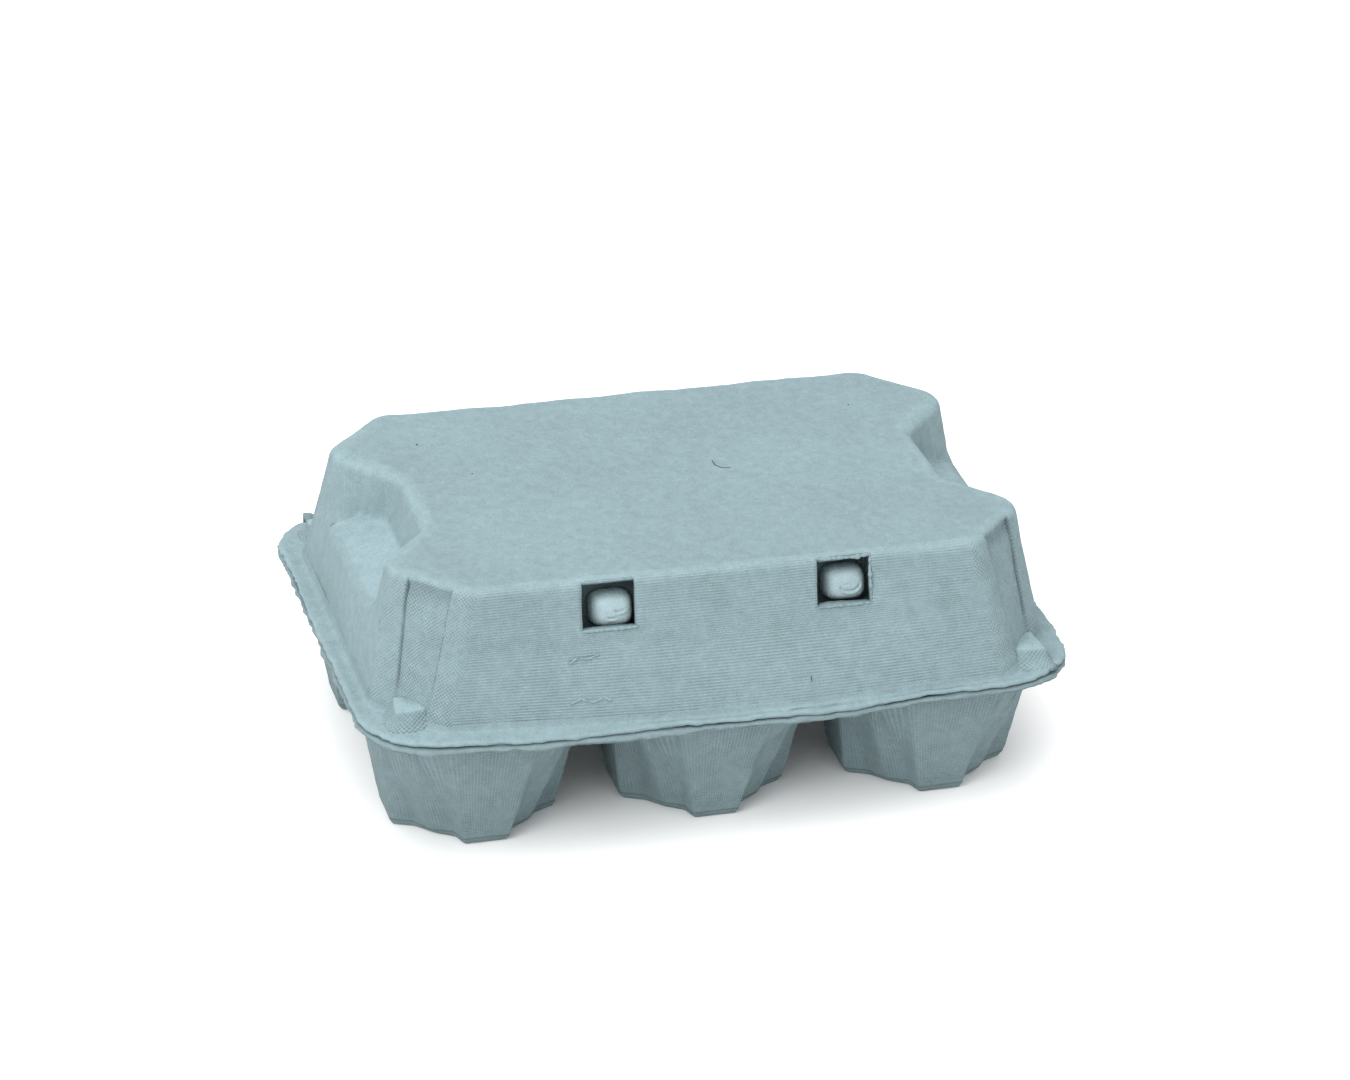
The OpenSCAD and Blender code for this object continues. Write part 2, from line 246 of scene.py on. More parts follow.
class Skin:
    """Collects the points and faces of one piece, and what its material reads from them.

    weave is the strength of the upright, level and crossed wire marks, the paling value makes the pulp
    paler, in places as painted light, and shade darkens it as painted shade. side is 1 on a face of the pulp
    and -1 on its back, so that both move the same way.
    """

    def __init__(self):
        self.rows, self.faces, self.corner_uv = [], [], []
        self.count = 0

    def add_points(self, points, weave=(0, 0, 0), paling_and_painted_light=0.0, shade=0.0, side=1):
        """Adds points and returns the index of the first one."""
        points = np.asarray(points, float).reshape(-1, 3)
        n = len(points)
        values = [np.broadcast_to(value, n) for value in (paling_and_painted_light, shade, side)]
        self.rows.append(np.column_stack([points, np.broadcast_to(weave, (n, 3)), *values]))
        self.count += n
        return self.count - n

    def add_faces(self, faces, uv):
        """Adds faces of vertex indices, with the place of each of their corners on the flat wire mesh."""
        self.faces += [tuple(f) for f in np.asarray(faces).tolist()]
        self.corner_uv.append(np.asarray(uv, float).reshape(-1, 2))

    def grid(self, index, uv, keep=None, flip=False):
        """Faces over a grid of vertex indices (rows, columns), with uv of the same shape."""
        faces, spots = cells(index, flip), cells(uv, flip)
        if keep is not None:
            faces, spots = faces[keep], spots[keep]
        self.add_faces(faces.reshape(-1, 4), spots)

    def fan(self, ring, point, flip=False, side=1):
        """Triangles from a closed ring of indices to a new point in its middle."""
        hub = self.add_points([point], side=side)
        ahead = np.roll(ring, -1)
        order = (ahead, ring) if flip else (ring, ahead)
        faces = np.column_stack([*order, np.full(len(ring), hub)])
        self.add_faces(faces, np.zeros((len(ring), 3, 2)))

    def build(self, name, body, slot, look=None, points=None):
        """Makes the piece and puts it on its body. look names its material, where that isn't its slot's."""
        rows = np.concatenate(self.rows)
        mesh = bpy.data.meshes.new(name)
        mesh.from_pydata((rows[:, :3] if points is None else points) * MM, [], self.faces)
        mesh.update()
        mesh.shade_smooth()
        place = np.concatenate(self.corner_uv)
        for label, kind, domain, values, field in (
            ("pulp_weave", "FLOAT_VECTOR", "POINT", rows[:, 3:6], "vector"),
            ("pulp_paling_and_painted_light", "FLOAT", "POINT", rows[:, 6], "value"),
            ("pulp_shade", "FLOAT", "POINT", rows[:, 7], "value"),
            ("pulp_place", "FLOAT_VECTOR", "CORNER", np.column_stack([place, place[:, 0] * 0]), "vector"),
        ):
            layer = mesh.attributes.new(label, kind, domain)
            layer.data.foreach_set(field, np.ascontiguousarray(values, np.float32).ravel())
        mesh.materials.append(PULPS[look or slot])
        piece = add_object(name, mesh)
        if body:
            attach(piece, body)
        return piece

    def stand_for(self, node, body, slot, bump=1.0, seed=5, look=None):
        """Makes the piece that takes a node's place, with the pulp's unevenness, bump times as strong."""
        rows = np.concatenate(self.rows)
        points, side = rows[:, :3], rows[:, 8]
        draft = bpy.data.meshes.new("draft")
        draft.from_pydata(points, [], self.faces)
        draft.update()
        normals = np.zeros(points.size)
        draft.vertices.foreach_get("normal", normals)
        bpy.data.meshes.remove(draft)
        push = side * bump * smooth(-0.5, 3.0, points[:, 2]) * unevenness(points, seed)
        moved = settle(points + normals.reshape(-1, 3) * push[:, None])
        piece = self.build(node + "_pulp", body, slot, look, moved)
        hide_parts(node)
        return piece


def closed(index):
    """A grid of indices with its first column repeated at the end."""
    return np.column_stack([index, index[:, 0]])


def run_along(points):
    """How far along the line through the points each one is."""
    return np.r_[0, np.cumsum(np.linalg.norm(np.diff(points, axis=0), axis=1))]


def ring_uv(rings):
    """u along each ring and v across the rings, both in millimetres, with the seam column at the end."""
    rings = np.concatenate([rings, rings[:, :1]], axis=1)
    u = run_along(rings[len(rings) // 2])
    step = np.linalg.norm(np.diff(rings, axis=0), axis=2).mean(axis=1)
    v = np.r_[0, np.cumsum(step)]
    return np.stack(np.broadcast_arrays(u[None, :], v[:, None]), axis=-1)


def add_rings(skin, rings, weave=(0, 0, 0), paling_and_painted_light=0.0, shade=0.0, flip=False, keep=None, side=1):
    """Adds closed rings (levels, columns, 3) and the faces between them, and returns their indices."""
    rings = np.asarray(rings, float)
    levels, columns = rings.shape[:2]

    def spread(value, tail=()):
        return np.broadcast_to(value, (levels, columns) + tail).reshape((-1,) + tail)

    start = skin.add_points(rings, spread(weave, (3,)), spread(paling_and_painted_light), spread(shade), side)
    index = start + np.arange(levels * columns).reshape(levels, columns)
    skin.grid(closed(index), ring_uv(rings), keep=keep, flip=flip)
    return index


def add_sweep(skin, rings, weave=(0, 0, 0), paling_and_painted_light=0.0, shade=0.0):
    """Adds a solid through closed rings, with a cap on its first and last ring."""
    index = add_rings(skin, rings, weave, paling_and_painted_light, shade)
    for end, flip in ((0, True), (-1, False)):
        skin.fan(index[end], np.mean(rings[end], axis=0), flip)


def bridge(skin, ring_a, ring_b, flip=False):
    """Faces between two closed rings of indices that are already there."""
    index = closed(np.stack([ring_a, ring_b]))
    skin.grid(index, np.zeros(index.shape + (2,)), flip=flip)


# ---- Material ----

WIRE_PITCH = 0.60
FLECK_GREY = (0.10, 0.11, 0.11, 1)
COLOURS = {
    "lid_pulp": (0.186, 0.258, 0.277),
    # The tray's pulp is the lid's pulp made darker, as painted shade.
    "tray_pulp": (0.158, 0.218, 0.232),
    "latch_pulp": (0.186, 0.258, 0.277),
    # The buttons' pulp is the lid's pulp made lighter, as painted light.
    "lit_button_pulp": (0.265, 0.350, 0.372),
    "dark_fibre": (0.030, 0.031, 0.028),
    "brown_fleck": (0.085, 0.055, 0.030),
}


class Nodes:
    """Short calls that add shader nodes. An input is a number, a colour or another node's output."""

    def __init__(self, material):
        self.tree = material.node_tree

    def add(self, kind, inputs=(), **settings):
        node = self.tree.nodes.new(kind)
        for key, value in settings.items():
            setattr(node, key, value)
        for key, value in dict(inputs).items():
            self.feed(node.inputs[key], value)
        return node

    def feed(self, socket, value):
        if isinstance(value, bpy.types.NodeSocket):
            self.tree.links.new(value, socket)
        else:
            socket.default_value = value

    def math(self, operation, a, b=0.0, c=0.0):
        return self.add("ShaderNodeMath", {0: a, 1: b, 2: c}, operation=operation).outputs[0]

    def attribute(self, name, output="Fac"):
        return self.add("ShaderNodeAttribute", attribute_name=name).outputs[output]

    def noise(self, where, scale, detail=3.0, roughness=0.55, distortion=0.0):
        inputs = {"Vector": where, "Scale": scale, "Detail": detail}
        inputs.update({"Roughness": roughness, "Distortion": distortion})
        return self.add("ShaderNodeTexNoise", inputs).outputs["Fac"]

    def remap(self, value, low, high, to_low=0.0, to_high=1.0):
        inputs = {"Value": value, "From Min": low, "From Max": high, "To Min": to_low, "To Max": to_high}
        return self.add("ShaderNodeMapRange", inputs, clamp=True).outputs[0]

    def blend(self, amount, a, b, mode="MIX"):
        node = self.add("ShaderNodeMix", data_type="RGBA", blend_type=mode)
        self.feed(node.inputs["Factor"], amount)
        self.feed(node.inputs[6], a)
        self.feed(node.inputs[7], b)
        return node.outputs[2]


def wire_lines(n):
    """Ridges left by the forming wire: upright, level and crossed, each as strong as the mesh says."""
    u, v, _ = n.add("ShaderNodeSeparateXYZ", {0: n.attribute("pulp_place", "Vector")}).outputs
    strength = n.attribute("pulp_weave", "Vector")
    upright, level, crossed = n.add("ShaderNodeSeparateXYZ", {0: strength}).outputs
    rising = n.math("MULTIPLY", n.math("ADD", u, v), math.sqrt(0.5))
    falling = n.math("MULTIPLY", n.math("SUBTRACT", u, v), math.sqrt(0.5))
    total = 0.0
    for across, amount in ((u, upright), (v, level), (rising, crossed), (falling, crossed)):
        row = n.math("SINE", n.math("MULTIPLY", across, 2 * math.pi / WIRE_PITCH))
        total = n.math("MULTIPLY_ADD", row, amount, total)
    return total


def new_material(name):
    """A new material and its shader node."""
    material = bpy.data.materials.new(name)
    material.use_nodes = True
    return material, material.node_tree.nodes["Principled BSDF"]


def pulp_material(name, base):
    """Matt moulded pulp: mottled blue-grey, with wire marks, fibres, specks and paler ridges, and the
    painted light and painted shade that the mesh's attributes ask for.
    """
    material, shader = new_material(name)
    n = Nodes(material)
    spot = n.add("ShaderNodeTexCoord").outputs["Object"]
    spot = n.add("ShaderNodeVectorMath", {0: spot, 1: (1 / MM,) * 3}, operation="MULTIPLY").outputs[0]
    patchy = n.remap(n.noise(spot, 0.16, 2.0), 0.30, 0.62, 0.35, 1.0)
    lines = n.math("MULTIPLY", wire_lines(n), patchy)

    clouds = n.noise(spot, 0.045, 3.0, 0.6)
    mottle = n.noise(spot, 0.42, 3.0, 0.62)
    grain = n.noise(spot, 2.6, 3.0, 0.7)
    strokes = {"Vector": spot, "Scale": (0.5, 0.5, 2.4), "Rotation": (0.7, 0.4, 0.9)}
    fibres = n.noise(n.add("ShaderNodeMapping", strokes).outputs[0], 2.1, 2.0, 0.5, 1.6)

    light = 1.0
    swings = ((clouds, 0.2, 0.045), (mottle, 0.2, 0.075), (grain, 0.25, 0.13), (fibres, 0.2, 0.07))
    for value, half_range, swing in swings:
        varied = n.remap(value, 0.5 - half_range, 0.5 + half_range, 1 - swing, 1 + swing)
        light = n.math("MULTIPLY", light, varied)
    # The shade attribute is painted shade; the paling attribute makes the pulp paler, in places as painted
    # light.
    marks = ((lines, 0.15), (n.attribute("pulp_paling_and_painted_light"), 0.13), (n.attribute("pulp_shade"), -0.55))
    for value, gain in marks:
        light = n.math("MULTIPLY", light, n.math("MULTIPLY_ADD", value, gain, 1.0))
    grey = n.add("ShaderNodeCombineColor", {0: light, 1: light, 2: light}).outputs[0]
    colour = n.blend(1.0, (*base, 1), grey, "MULTIPLY")

    specks = n.add("ShaderNodeTexVoronoi", {"Vector": spot, "Scale": 0.16, "Randomness": 1.0})
    draw = n.add("ShaderNodeSeparateColor", {0: specks.outputs["Color"]}).outputs[0]
    radius = n.math("SUBTRACT", n.math("MULTIPLY", draw, 0.055), 0.030)
    fleck = n.remap(n.math("SUBTRACT", specks.outputs["Distance"], radius), 0.0, 0.012, 0.75, 0.0)
    n.feed(shader.inputs["Base Color"], n.blend(fleck, colour, FLECK_GREY))

    height = n.math("MULTIPLY_ADD", lines, 0.62, n.math("MULTIPLY", grain, 1.2))
    height = n.math("MULTIPLY_ADD", fibres, 0.7, height)
    height = n.math("MULTIPLY_ADD", mottle, 1.3, height)
    bump = n.add("ShaderNodeBump", {"Strength": 0.9, "Distance": 0.00011, "Height": height})
    n.feed(shader.inputs["Normal"], bump.outputs[0])
    n.feed(shader.inputs["Roughness"], n.remap(grain, 0.3, 0.7, 0.86, 0.98))
    shader.inputs["Specular IOR Level"].default_value = 0.22
    return material


PULPS = {name: pulp_material(name, colour) for name, colour in COLOURS.items()}

# ---- Lid ----

SCOOP_DEPTH = 11.7
SCOOP_FLOOR = (TOP_Z - 14.6, TOP_Z - 9.6)
SCOOP_FLOOR_SHARE = 0.90
SCOOP_INNER_HALF = 11.0
SCOOP_OUTER_HALF = (20.0, 23.4)
FOOT_OUT = (0.8, 3.6)
FACET_DENT = 0.62
COVE_DENT = 0.75
CREASE_WIDTH = 0.28
CREASE_DEPTHS = (0.40, 0.22)
CREASES_AT_FOOT = np.array([0.24, 0.84])
CREASES_AT_TOP = np.array([0.13, 0.90])
CORNER_REACH = (2.6, 5.6, 2.6, 2.4)
CORNER_STEPS = (7, 7, 6, 6)
# How many points or steps the straight parts, the cut corner and the windowed wall have.
FLAT_STEPS = (9, 11, 13)
FACET_STEPS = (5, 13, 4)
WINDOW_STEPS = (14, 14, 21)
RIDGE_TURNS = np.radians([14, 28, 44.4, 60, 75, 90])
WALL_ROWS = (16, 16, 12)
WINDOW_RIDGE_ROWS = 3


def lid_corners(z, inset):
    """Corner points of a quarter of the lid at a height: scoop, lobe and both ends of the cut corner."""
    rise = ramp(FLANGE_Z, TOP_Z, z)
    half = mix(FOOT_HALF, TOP_HALF, rise) - inset
    corner = mix(FOOT_CORNER, TOP_CORNER, rise) - inset * math.sqrt(2)
    above = ramp(SCOOP_FLOOR[1], TOP_Z, z)
    cut = mix(above, smooth(*SCOOP_FLOOR, z + inset), SCOOP_FLOOR_SHARE)
    outer_y = min(mix(*SCOOP_OUTER_HALF, above) + inset, corner - half[0] - 1)
    inner_y = mix(outer_y - 2.0, SCOOP_INNER_HALF + inset, cut)
    scoop = np.array([half[0] - SCOOP_DEPTH * cut, inner_y])
    lobe = np.array([half[0], outer_y])
    side = np.array([half[0], corner - half[0]])
    front = np.array([corner - half[1], half[1]])
    return half, (scoop, lobe, side, front)


def facet_points(start, end, z):
    """Points along a cut corner, with its middle pressed in between two creases."""
    narrow = CREASE_WIDTH / np.linalg.norm(end - start)
    first, second = mix(CREASES_AT_FOOT, CREASES_AT_TOP, ramp(FLANGE_Z, TOP_Z, z))
    share = np.r_[
        np.linspace(0, first - narrow, FACET_STEPS[0])[1:],
        first,
        np.linspace(first + narrow, second - narrow, FACET_STEPS[1]),
        second,
        np.linspace(second + narrow, 1, FACET_STEPS[2])[:-1],
    ]
    fade = plateau((FLANGE_Z, FLANGE_Z + 6), (TOP_Z - 1.4, TOP_Z - 0.1), z)
    pressed = plateau((first - narrow, first + narrow), (second - narrow, second + narrow), share)
    dent = (FACET_DENT + COVE_DENT * bell(TOP_Z - 2.6, 1.5, z)) * pressed
    crease = CREASE_DEPTHS[0] * np.isclose(share, first) + CREASE_DEPTHS[1] * np.isclose(share, second)
    inwards = -np.ones(2) / math.sqrt(2)
    return start + (end - start) * share[:, None] + inwards * (fade * (dent + crease))[:, None]


def lid_quarter(z, inset):
    """A quarter of the lid's outline, from the middle of the right end to the middle of the back."""
    half, (scoop, lobe, side, front) = lid_corners(z, inset)
    middle, end = np.array([scoop[0], 0.0]), np.array([STRAIGHT_X, half[1]])
    path = [middle, scoop, lobe, side, front, end]
    curve = [soft_corner(*path[i:i + 3], CORNER_REACH[i], CORNER_STEPS[i]) for i in range(4)]
    xs = np.r_[
        np.linspace(STRAIGHT_X, WINDOW_X[1], WINDOW_STEPS[0] + 1)[:-1],
        np.linspace(WINDOW_X[1], WINDOW_X[0], WINDOW_STEPS[1] + 1)[:-1],
        np.linspace(WINDOW_X[0], 0, WINDOW_STEPS[2] + 1),
    ]
    return np.concatenate([
        middle[None], between(middle, curve[0][0], FLAT_STEPS[0]), curve[0],
        between(curve[0][-1], curve[1][0], FLAT_STEPS[1]), curve[1],
        between(curve[1][-1], curve[2][0], FLAT_STEPS[2]), curve[2],
        facet_points(curve[2][-1], curve[3][0], z + inset), curve[3],
        between(curve[3][-1], end, FLAT_STEPS[1]),
        np.column_stack([xs, np.full(len(xs), half[1])]),
    ])


def lid_ring(z, inset=0.0):
    """The lid's whole outline at a height, moved inwards by the inset."""
    return at_height(full_ring(lid_quarter(z, inset)), z)


# Column numbers of the lid's rings. Each ring starts at the middle of the right end.
QUARTER = len(lid_quarter(FLANGE_Z, 0.0))
HALF_RING = 2 * (QUARTER - 1)
RING = 2 * HALF_RING
SCOOP_END = 1 + FLAT_STEPS[0] + CORNER_STEPS[0] + 1 + FLAT_STEPS[1]
FACET_START = SCOOP_END + CORNER_STEPS[1] + 1 + FLAT_STEPS[2]
FIRST_CREASE = FACET_START + CORNER_STEPS[2] + FACET_STEPS[0]
SECOND_CREASE = FIRST_CREASE + FACET_STEPS[1] + 1
ARC_END = QUARTER - 2 - sum(WINDOW_STEPS) - FLAT_STEPS[1]
END_COLUMNS = np.arange(-ARC_END, ARC_END + 1)
BACK_COLUMNS = np.arange(ARC_END, HALF_RING - ARC_END + 1)


def lid_skew(points):
    """The front wall's foot stands out further at the right than at the left."""
    x, y, z = points.T
    out = mix(*FOOT_OUT, smooth(-66, 10, x)) * (1 - ramp(FLANGE_Z, TOP_Z, z)) ** 1.15
    moved = points.copy()
    moved[:, 1] -= out * smooth(-28, -47, y)
    return moved


def columns_between(first, last):
    """1 on the ring's columns from first up to last in each quarter, and 0 on the others."""
    quarter = np.zeros(QUARTER)
    quarter[first:last] = 1
    return full_values(quarter)


def top_rows(ring):
    """Rows of points across the lid's top, from the ring round its edge: front row first, back row last."""
    straight = ring[BACK_COLUMNS][::-1, 0]
    rows = []
    for end_x, y, z in ring[END_COLUMNS % RING]:
        stretch = (end_x - STRAIGHT_X) / (straight[-1] - STRAIGHT_X)
        beyond = np.sign(straight) * (STRAIGHT_X + (abs(straight) - STRAIGHT_X) * stretch)
        x = np.where(abs(straight) > STRAIGHT_X, beyond, straight)
        rows.append(np.column_stack(np.broadcast_arrays(x, y, z)))
    return np.array(rows)


def add_top(skin, ring_index, ring, side):
    """Faces across the lid's top. Their edge shares the ring's own vertices."""
    rows = top_rows(ring)
    count, width = rows.shape[:2]
    start = skin.add_points(rows[1:-1, 1:-1], (0.10, 0.10, 0.04), side=side)
    index = np.zeros((count, width), int)
    index[1:-1, 1:-1] = start + np.arange((count - 2) * (width - 2)).reshape(count - 2, width - 2)
    index[:, -1] = ring_index[END_COLUMNS % RING]
    index[:, 0] = ring_index[(HALF_RING - END_COLUMNS) % RING]
    index[-1] = ring_index[BACK_COLUMNS][::-1]
    index[0] = ring_index[-BACK_COLUMNS % RING][::-1]
    skin.grid(index, rows[:, :, :2], flip=side < 0)


def window_columns(sign):
    """First and last ring column of the window on that side of the front wall."""
    inner = QUARTER - 1 - WINDOW_STEPS[2]
    outer = inner - WINDOW_STEPS[1]
    if sign < 0:
        return HALF_RING + outer, HALF_RING + inner
    return RING - inner, RING - outer


def wall_rings(inner):
    """Rings of the lid's outer or inner face from foot to top, and the windows' first and last row."""
    below = np.r_[
        np.linspace(PARTING_Z, SCOOP_FLOOR[0], WALL_ROWS[0])[:-1],
        np.linspace(SCOOP_FLOOR[0], WINDOW_Z[0], WALL_ROWS[1]),
    ]
    inset = PULP if inner else 0.0
    radius = RIDGE - PULP + 0.5 if inner else RIDGE
    ridge_start = TOP_Z - inset - radius
    rings = [lid_ring(z, inset) for z in below]
    rings += [lid_ring(z, inset) for z in np.linspace(WINDOW_Z[0], ridge_start, WALL_ROWS[2])[1:]]
    rows = len(below) - 1, len(rings) - 1 + WINDOW_RIDGE_ROWS
    for turn in RIDGE_TURNS:
        height = ridge_start + radius * math.sin(turn)
        rings.append(lid_ring(height, inset + radius * (1 - math.cos(turn))))
    return np.array(rings), *rows


def crease_shade(rings):
    """Painted shade: dark lines along the two creases of each cut corner, the first unbroken and the second
    dashed, and a band in the cove under the ridge between them.
    """
    z = rings[:, :, 2]
    fade = plateau((FLANGE_Z + 5, FLANGE_Z + 9), (TOP_Z - 1.5, TOP_Z - 0.6), z)
    cove = 0.30 * bell(TOP_Z - 3.2, 1.5, z)
    flat = rings.reshape(-1, 3)
    dashes = smooth(-0.9, 0.2, waves(flat, 1.3, 17)).reshape(z.shape)
    steady = 0.6 + 0.4 * smooth(-0.8, 0.4, waves(flat, 9.0, 18)).reshape(z.shape)
    first = 0.95 * steady * columns_between(FIRST_CREASE, FIRST_CREASE + 1)
    second = dashes * columns_between(SECOND_CREASE, SECOND_CREASE + 1)
    return fade * (first + second) + cove * columns_between(FIRST_CREASE, SECOND_CREASE + 1)


def wall_weave(z):
    """Level wire marks on the long walls, upright ones on the ends and crossed ones on the cut corners."""
    walls = columns_between(ARC_END, QUARTER)
    corners = columns_between(FACET_START, ARC_END)
    ends = columns_between(0, FACET_START)
    marks = np.column_stack([0.12 * walls + 0.30 * ends, walls + 0.10 * ends, 0.75 * corners])
    return marks * (1 - 0.8 * smooth(TOP_Z - 1.2, TOP_Z, z))[:, None, None]


def pale_ridge_and_painted_scoop_light(z):
    """Paler pulp on the ridge round the top, and painted light on the floors of the scoops."""
    ridge = bell(TOP_Z - 0.55, 0.75, z)
    pocket = plateau(SCOOP_FLOOR[0] + np.array([0.6, 1.6]), SCOOP_FLOOR[1] + np.array([-0.4, 0.5]), z)
    return ridge[:, None] + 1.5 * pocket[:, None] * columns_between(0, SCOOP_END)


def build_lid_shell():
    skin = Skin()
    faces = []
    windows = [window_columns(sign) for sign in (-1, 1)]
    for side, inner in ((1, False), (-1, True)):
        rings, row0, row1 = wall_rings(inner)
        z = rings[:, :, 2].mean(axis=1)
        # Only the outer face gets the paler ridge, painted light in the scoops and painted shade along the
        # creases.
        paling_and_painted_light, shade = (0.0, 0.0) if inner else (pale_ridge_and_painted_scoop_light(z), crease_shade(rings))
        keep = np.ones((len(rings) - 1, RING), bool)
        for first, last in windows:
            keep[row0:row1, first:last] = False
        rings = lid_skew(rings.reshape(-1, 3)).reshape(rings.shape)
        index = add_rings(skin, rings, wall_weave(z), paling_and_painted_light, shade, flip=inner, keep=keep, side=side)
        add_top(skin, index[-1], rings[-1], side)
        faces.append(index)
    bridge(skin, faces[0][0], faces[1][0], flip=True)
    for first, last in windows:
        edges = [
            np.r_[
                index[row0, first:last], index[row0:row1, last],
                index[row1, last:first:-1], index[row1:row0:-1, first],
            ]
            for index in faces
        ]
        bridge(skin, *edges)
    return skin.stand_for("lid_shell", "lid", "lid_pulp")


lid_shell = build_lid_shell()

# ---- Rim and the lid's flange ----

REAR_EDGE = HINGE_Y - HINGE_RADIUS - 0.2
# Waves (length, share of the size) in a torn edge.
TATTERS = ((26.0, 0.8), (7.0, 0.7), (2.2, 0.6), (1.1, 0.3))
# Steps (outwards, up) round the rounded edge of a ply, from its top to its underside.
EDGE_SECTION = (
    (-0.95, 0.0), (-0.45, -0.05), (-0.16, -0.20), (-0.02, -0.50), (-0.06, -0.88), (-0.26, -1.10),
    (-0.95, -1.15),
)
# Steps (height above the flange, outwards) of the hollow between the lid's wall and its flange.
FLANGE_COVE = ((1.9, -0.06), (1.1, 0.06), (0.6, 0.30), (0.25, 0.75), (0.08, 1.3))
COVE_FULL_WIDTH = 3.4
FLANGE_RAGGED = 0.21
# How much paler the flange's top and upper edge are made, and over which rows.
FLANGE_PALING = 0.8
FLANGE_PALE_ROWS = slice(3, 11)
DECK_RAGGED = 0.27
DECK_PROUD = 0.32
DECK_PROUD_AT_FRONT = 0.45
DECK_GAP = 0.11


def rim_ring(back_limit):
    """The rim's outline with the same columns as the lid's rings, cut off at the hinge."""
    foot = lid_quarter(FLANGE_Z, 0.0)
    corner_x, corner_y = RIM_X - RIM_CORNER, RIM_Y - RIM_CORNER
    quarter = np.zeros_like(foot)
    ends, corner = slice(0, FACET_START + 1), slice(FACET_START, ARC_END + 1)
    quarter[ends, 0] = RIM_X
    quarter[ends, 1] = foot[ends, 1] * corner_y / foot[FACET_START, 1]
    run = run_along(foot[corner])
    turn = run / run[-1] * math.pi / 2
    quarter[corner] = RIM_CORNER * unit_circle(turn) + [corner_x, corner_y]
    x = foot[ARC_END:, 0]
    stretch = (corner_x - STRAIGHT_X) / (x[0] - STRAIGHT_X)
    quarter[ARC_END:, 0] = np.where(x > STRAIGHT_X, STRAIGHT_X + (x - STRAIGHT_X) * stretch, x)
    quarter[ARC_END:, 1] = RIM_Y
    ring = full_ring(quarter)
    ring[:, 1] = np.minimum(ring[:, 1], back_limit)
    return ring


def ragged(ring, seed, size):
    """Uneven in-and-out of a torn pulp edge, one number for each point of a flat ring."""
    fields = [share * flat_waves(ring, length, seed + k) for k, (length, share) in enumerate(TATTERS)]
    return size * sum(fields)


def outwards(ring):
    """Unit normals of a flat anticlockwise ring, pointing out."""
    along = np.roll(ring, -1, axis=0) - np.roll(ring, 1, axis=0)
    normal = np.column_stack([along[:, 1], -along[:, 0]])
    length = np.linalg.norm(normal, axis=1)
    length[length == 0] = 1
    return normal / length[:, None]


def rim_lift(rim):
    """Long, shallow waves that both plies of the rim share."""
    return 0.22 * flat_waves(rim, 30.0, 35) + 0.07 * flat_waves(rim, 6.0, 36)


def build_lid_flange():
    skin = Skin()
    rim = rim_ring(REAR_EDGE)
    out = outwards(rim)
    edge = rim + out * ragged(rim, 31, FLANGE_RAGGED)[:, None]
    lift = rim_lift(rim)
    foot = lid_skew(lid_ring(FLANGE_Z))[:, :2]
    width = np.linalg.norm(rim - foot, axis=1)
    away = (rim - foot) / width[:, None] * np.clip(width / COVE_FULL_WIDTH, 0.25, 1.0)[:, None]

    def wall_ring(z, inset, step):
        ring = lid_skew(lid_ring(z, inset))
        ring[:, :2] += away * step
        return ring

    rings = [wall_ring(FLANGE_Z + up, 0.0, step) for up, step in FLANGE_COVE]
    start = rings[-1][:, :2]
    for share in (0.3, 0.65):
        flat = mix(start, edge + out * EDGE_SECTION[0][0], share)
        rings.append(at_height(flat, FLANGE_Z + lift * share**2))
    rings += [at_height(edge + out * step, FLANGE_Z + lift + drop) for step, drop in EDGE_SECTION]
    underside = len(rings) - 1
    rings.append(wall_ring(PARTING_Z + 0.12, 0.0, 0.8))
    rings.append(wall_ring(PARTING_Z + 0.12, PULP, -0.05))
    rings.append(wall_ring(FLANGE_Z + 0.6, PULP, 0.0))
    paling_and_painted_light, shade = np.zeros((2, len(rings), 1))
    paling_and_painted_light[FLANGE_PALE_ROWS] = FLANGE_PALING
    # Painted shade from the underside of the edge round to the inner face.
    shade[underside:] = 0.1
    index = add_rings(skin, rings, (0.05, 0.12, 0.08), paling_and_painted_light, shade, flip=True)
    bridge(skin, index[-1], index[0], flip=True)
    skin.stand_for("lid_flange", "lid", "lid_pulp", bump=0.8)


build_lid_flange()


def inside(points, polygon):
    """Which flat points lie inside a polygon."""
    x, y = points[:, 0][:, None], points[:, 1][:, None]
    x0, y0 = polygon[:, 0], polygon[:, 1]
    x1, y1 = np.roll(x0, -1), np.roll(y0, -1)
    crosses = (y0 > y) != (y1 > y)
    slope = np.where(y1 == y0, 1e-12, y1 - y0)
    return (crosses & (x < (x1 - x0) * (y - y0) / slope + x0)).sum(axis=1) % 2 == 1


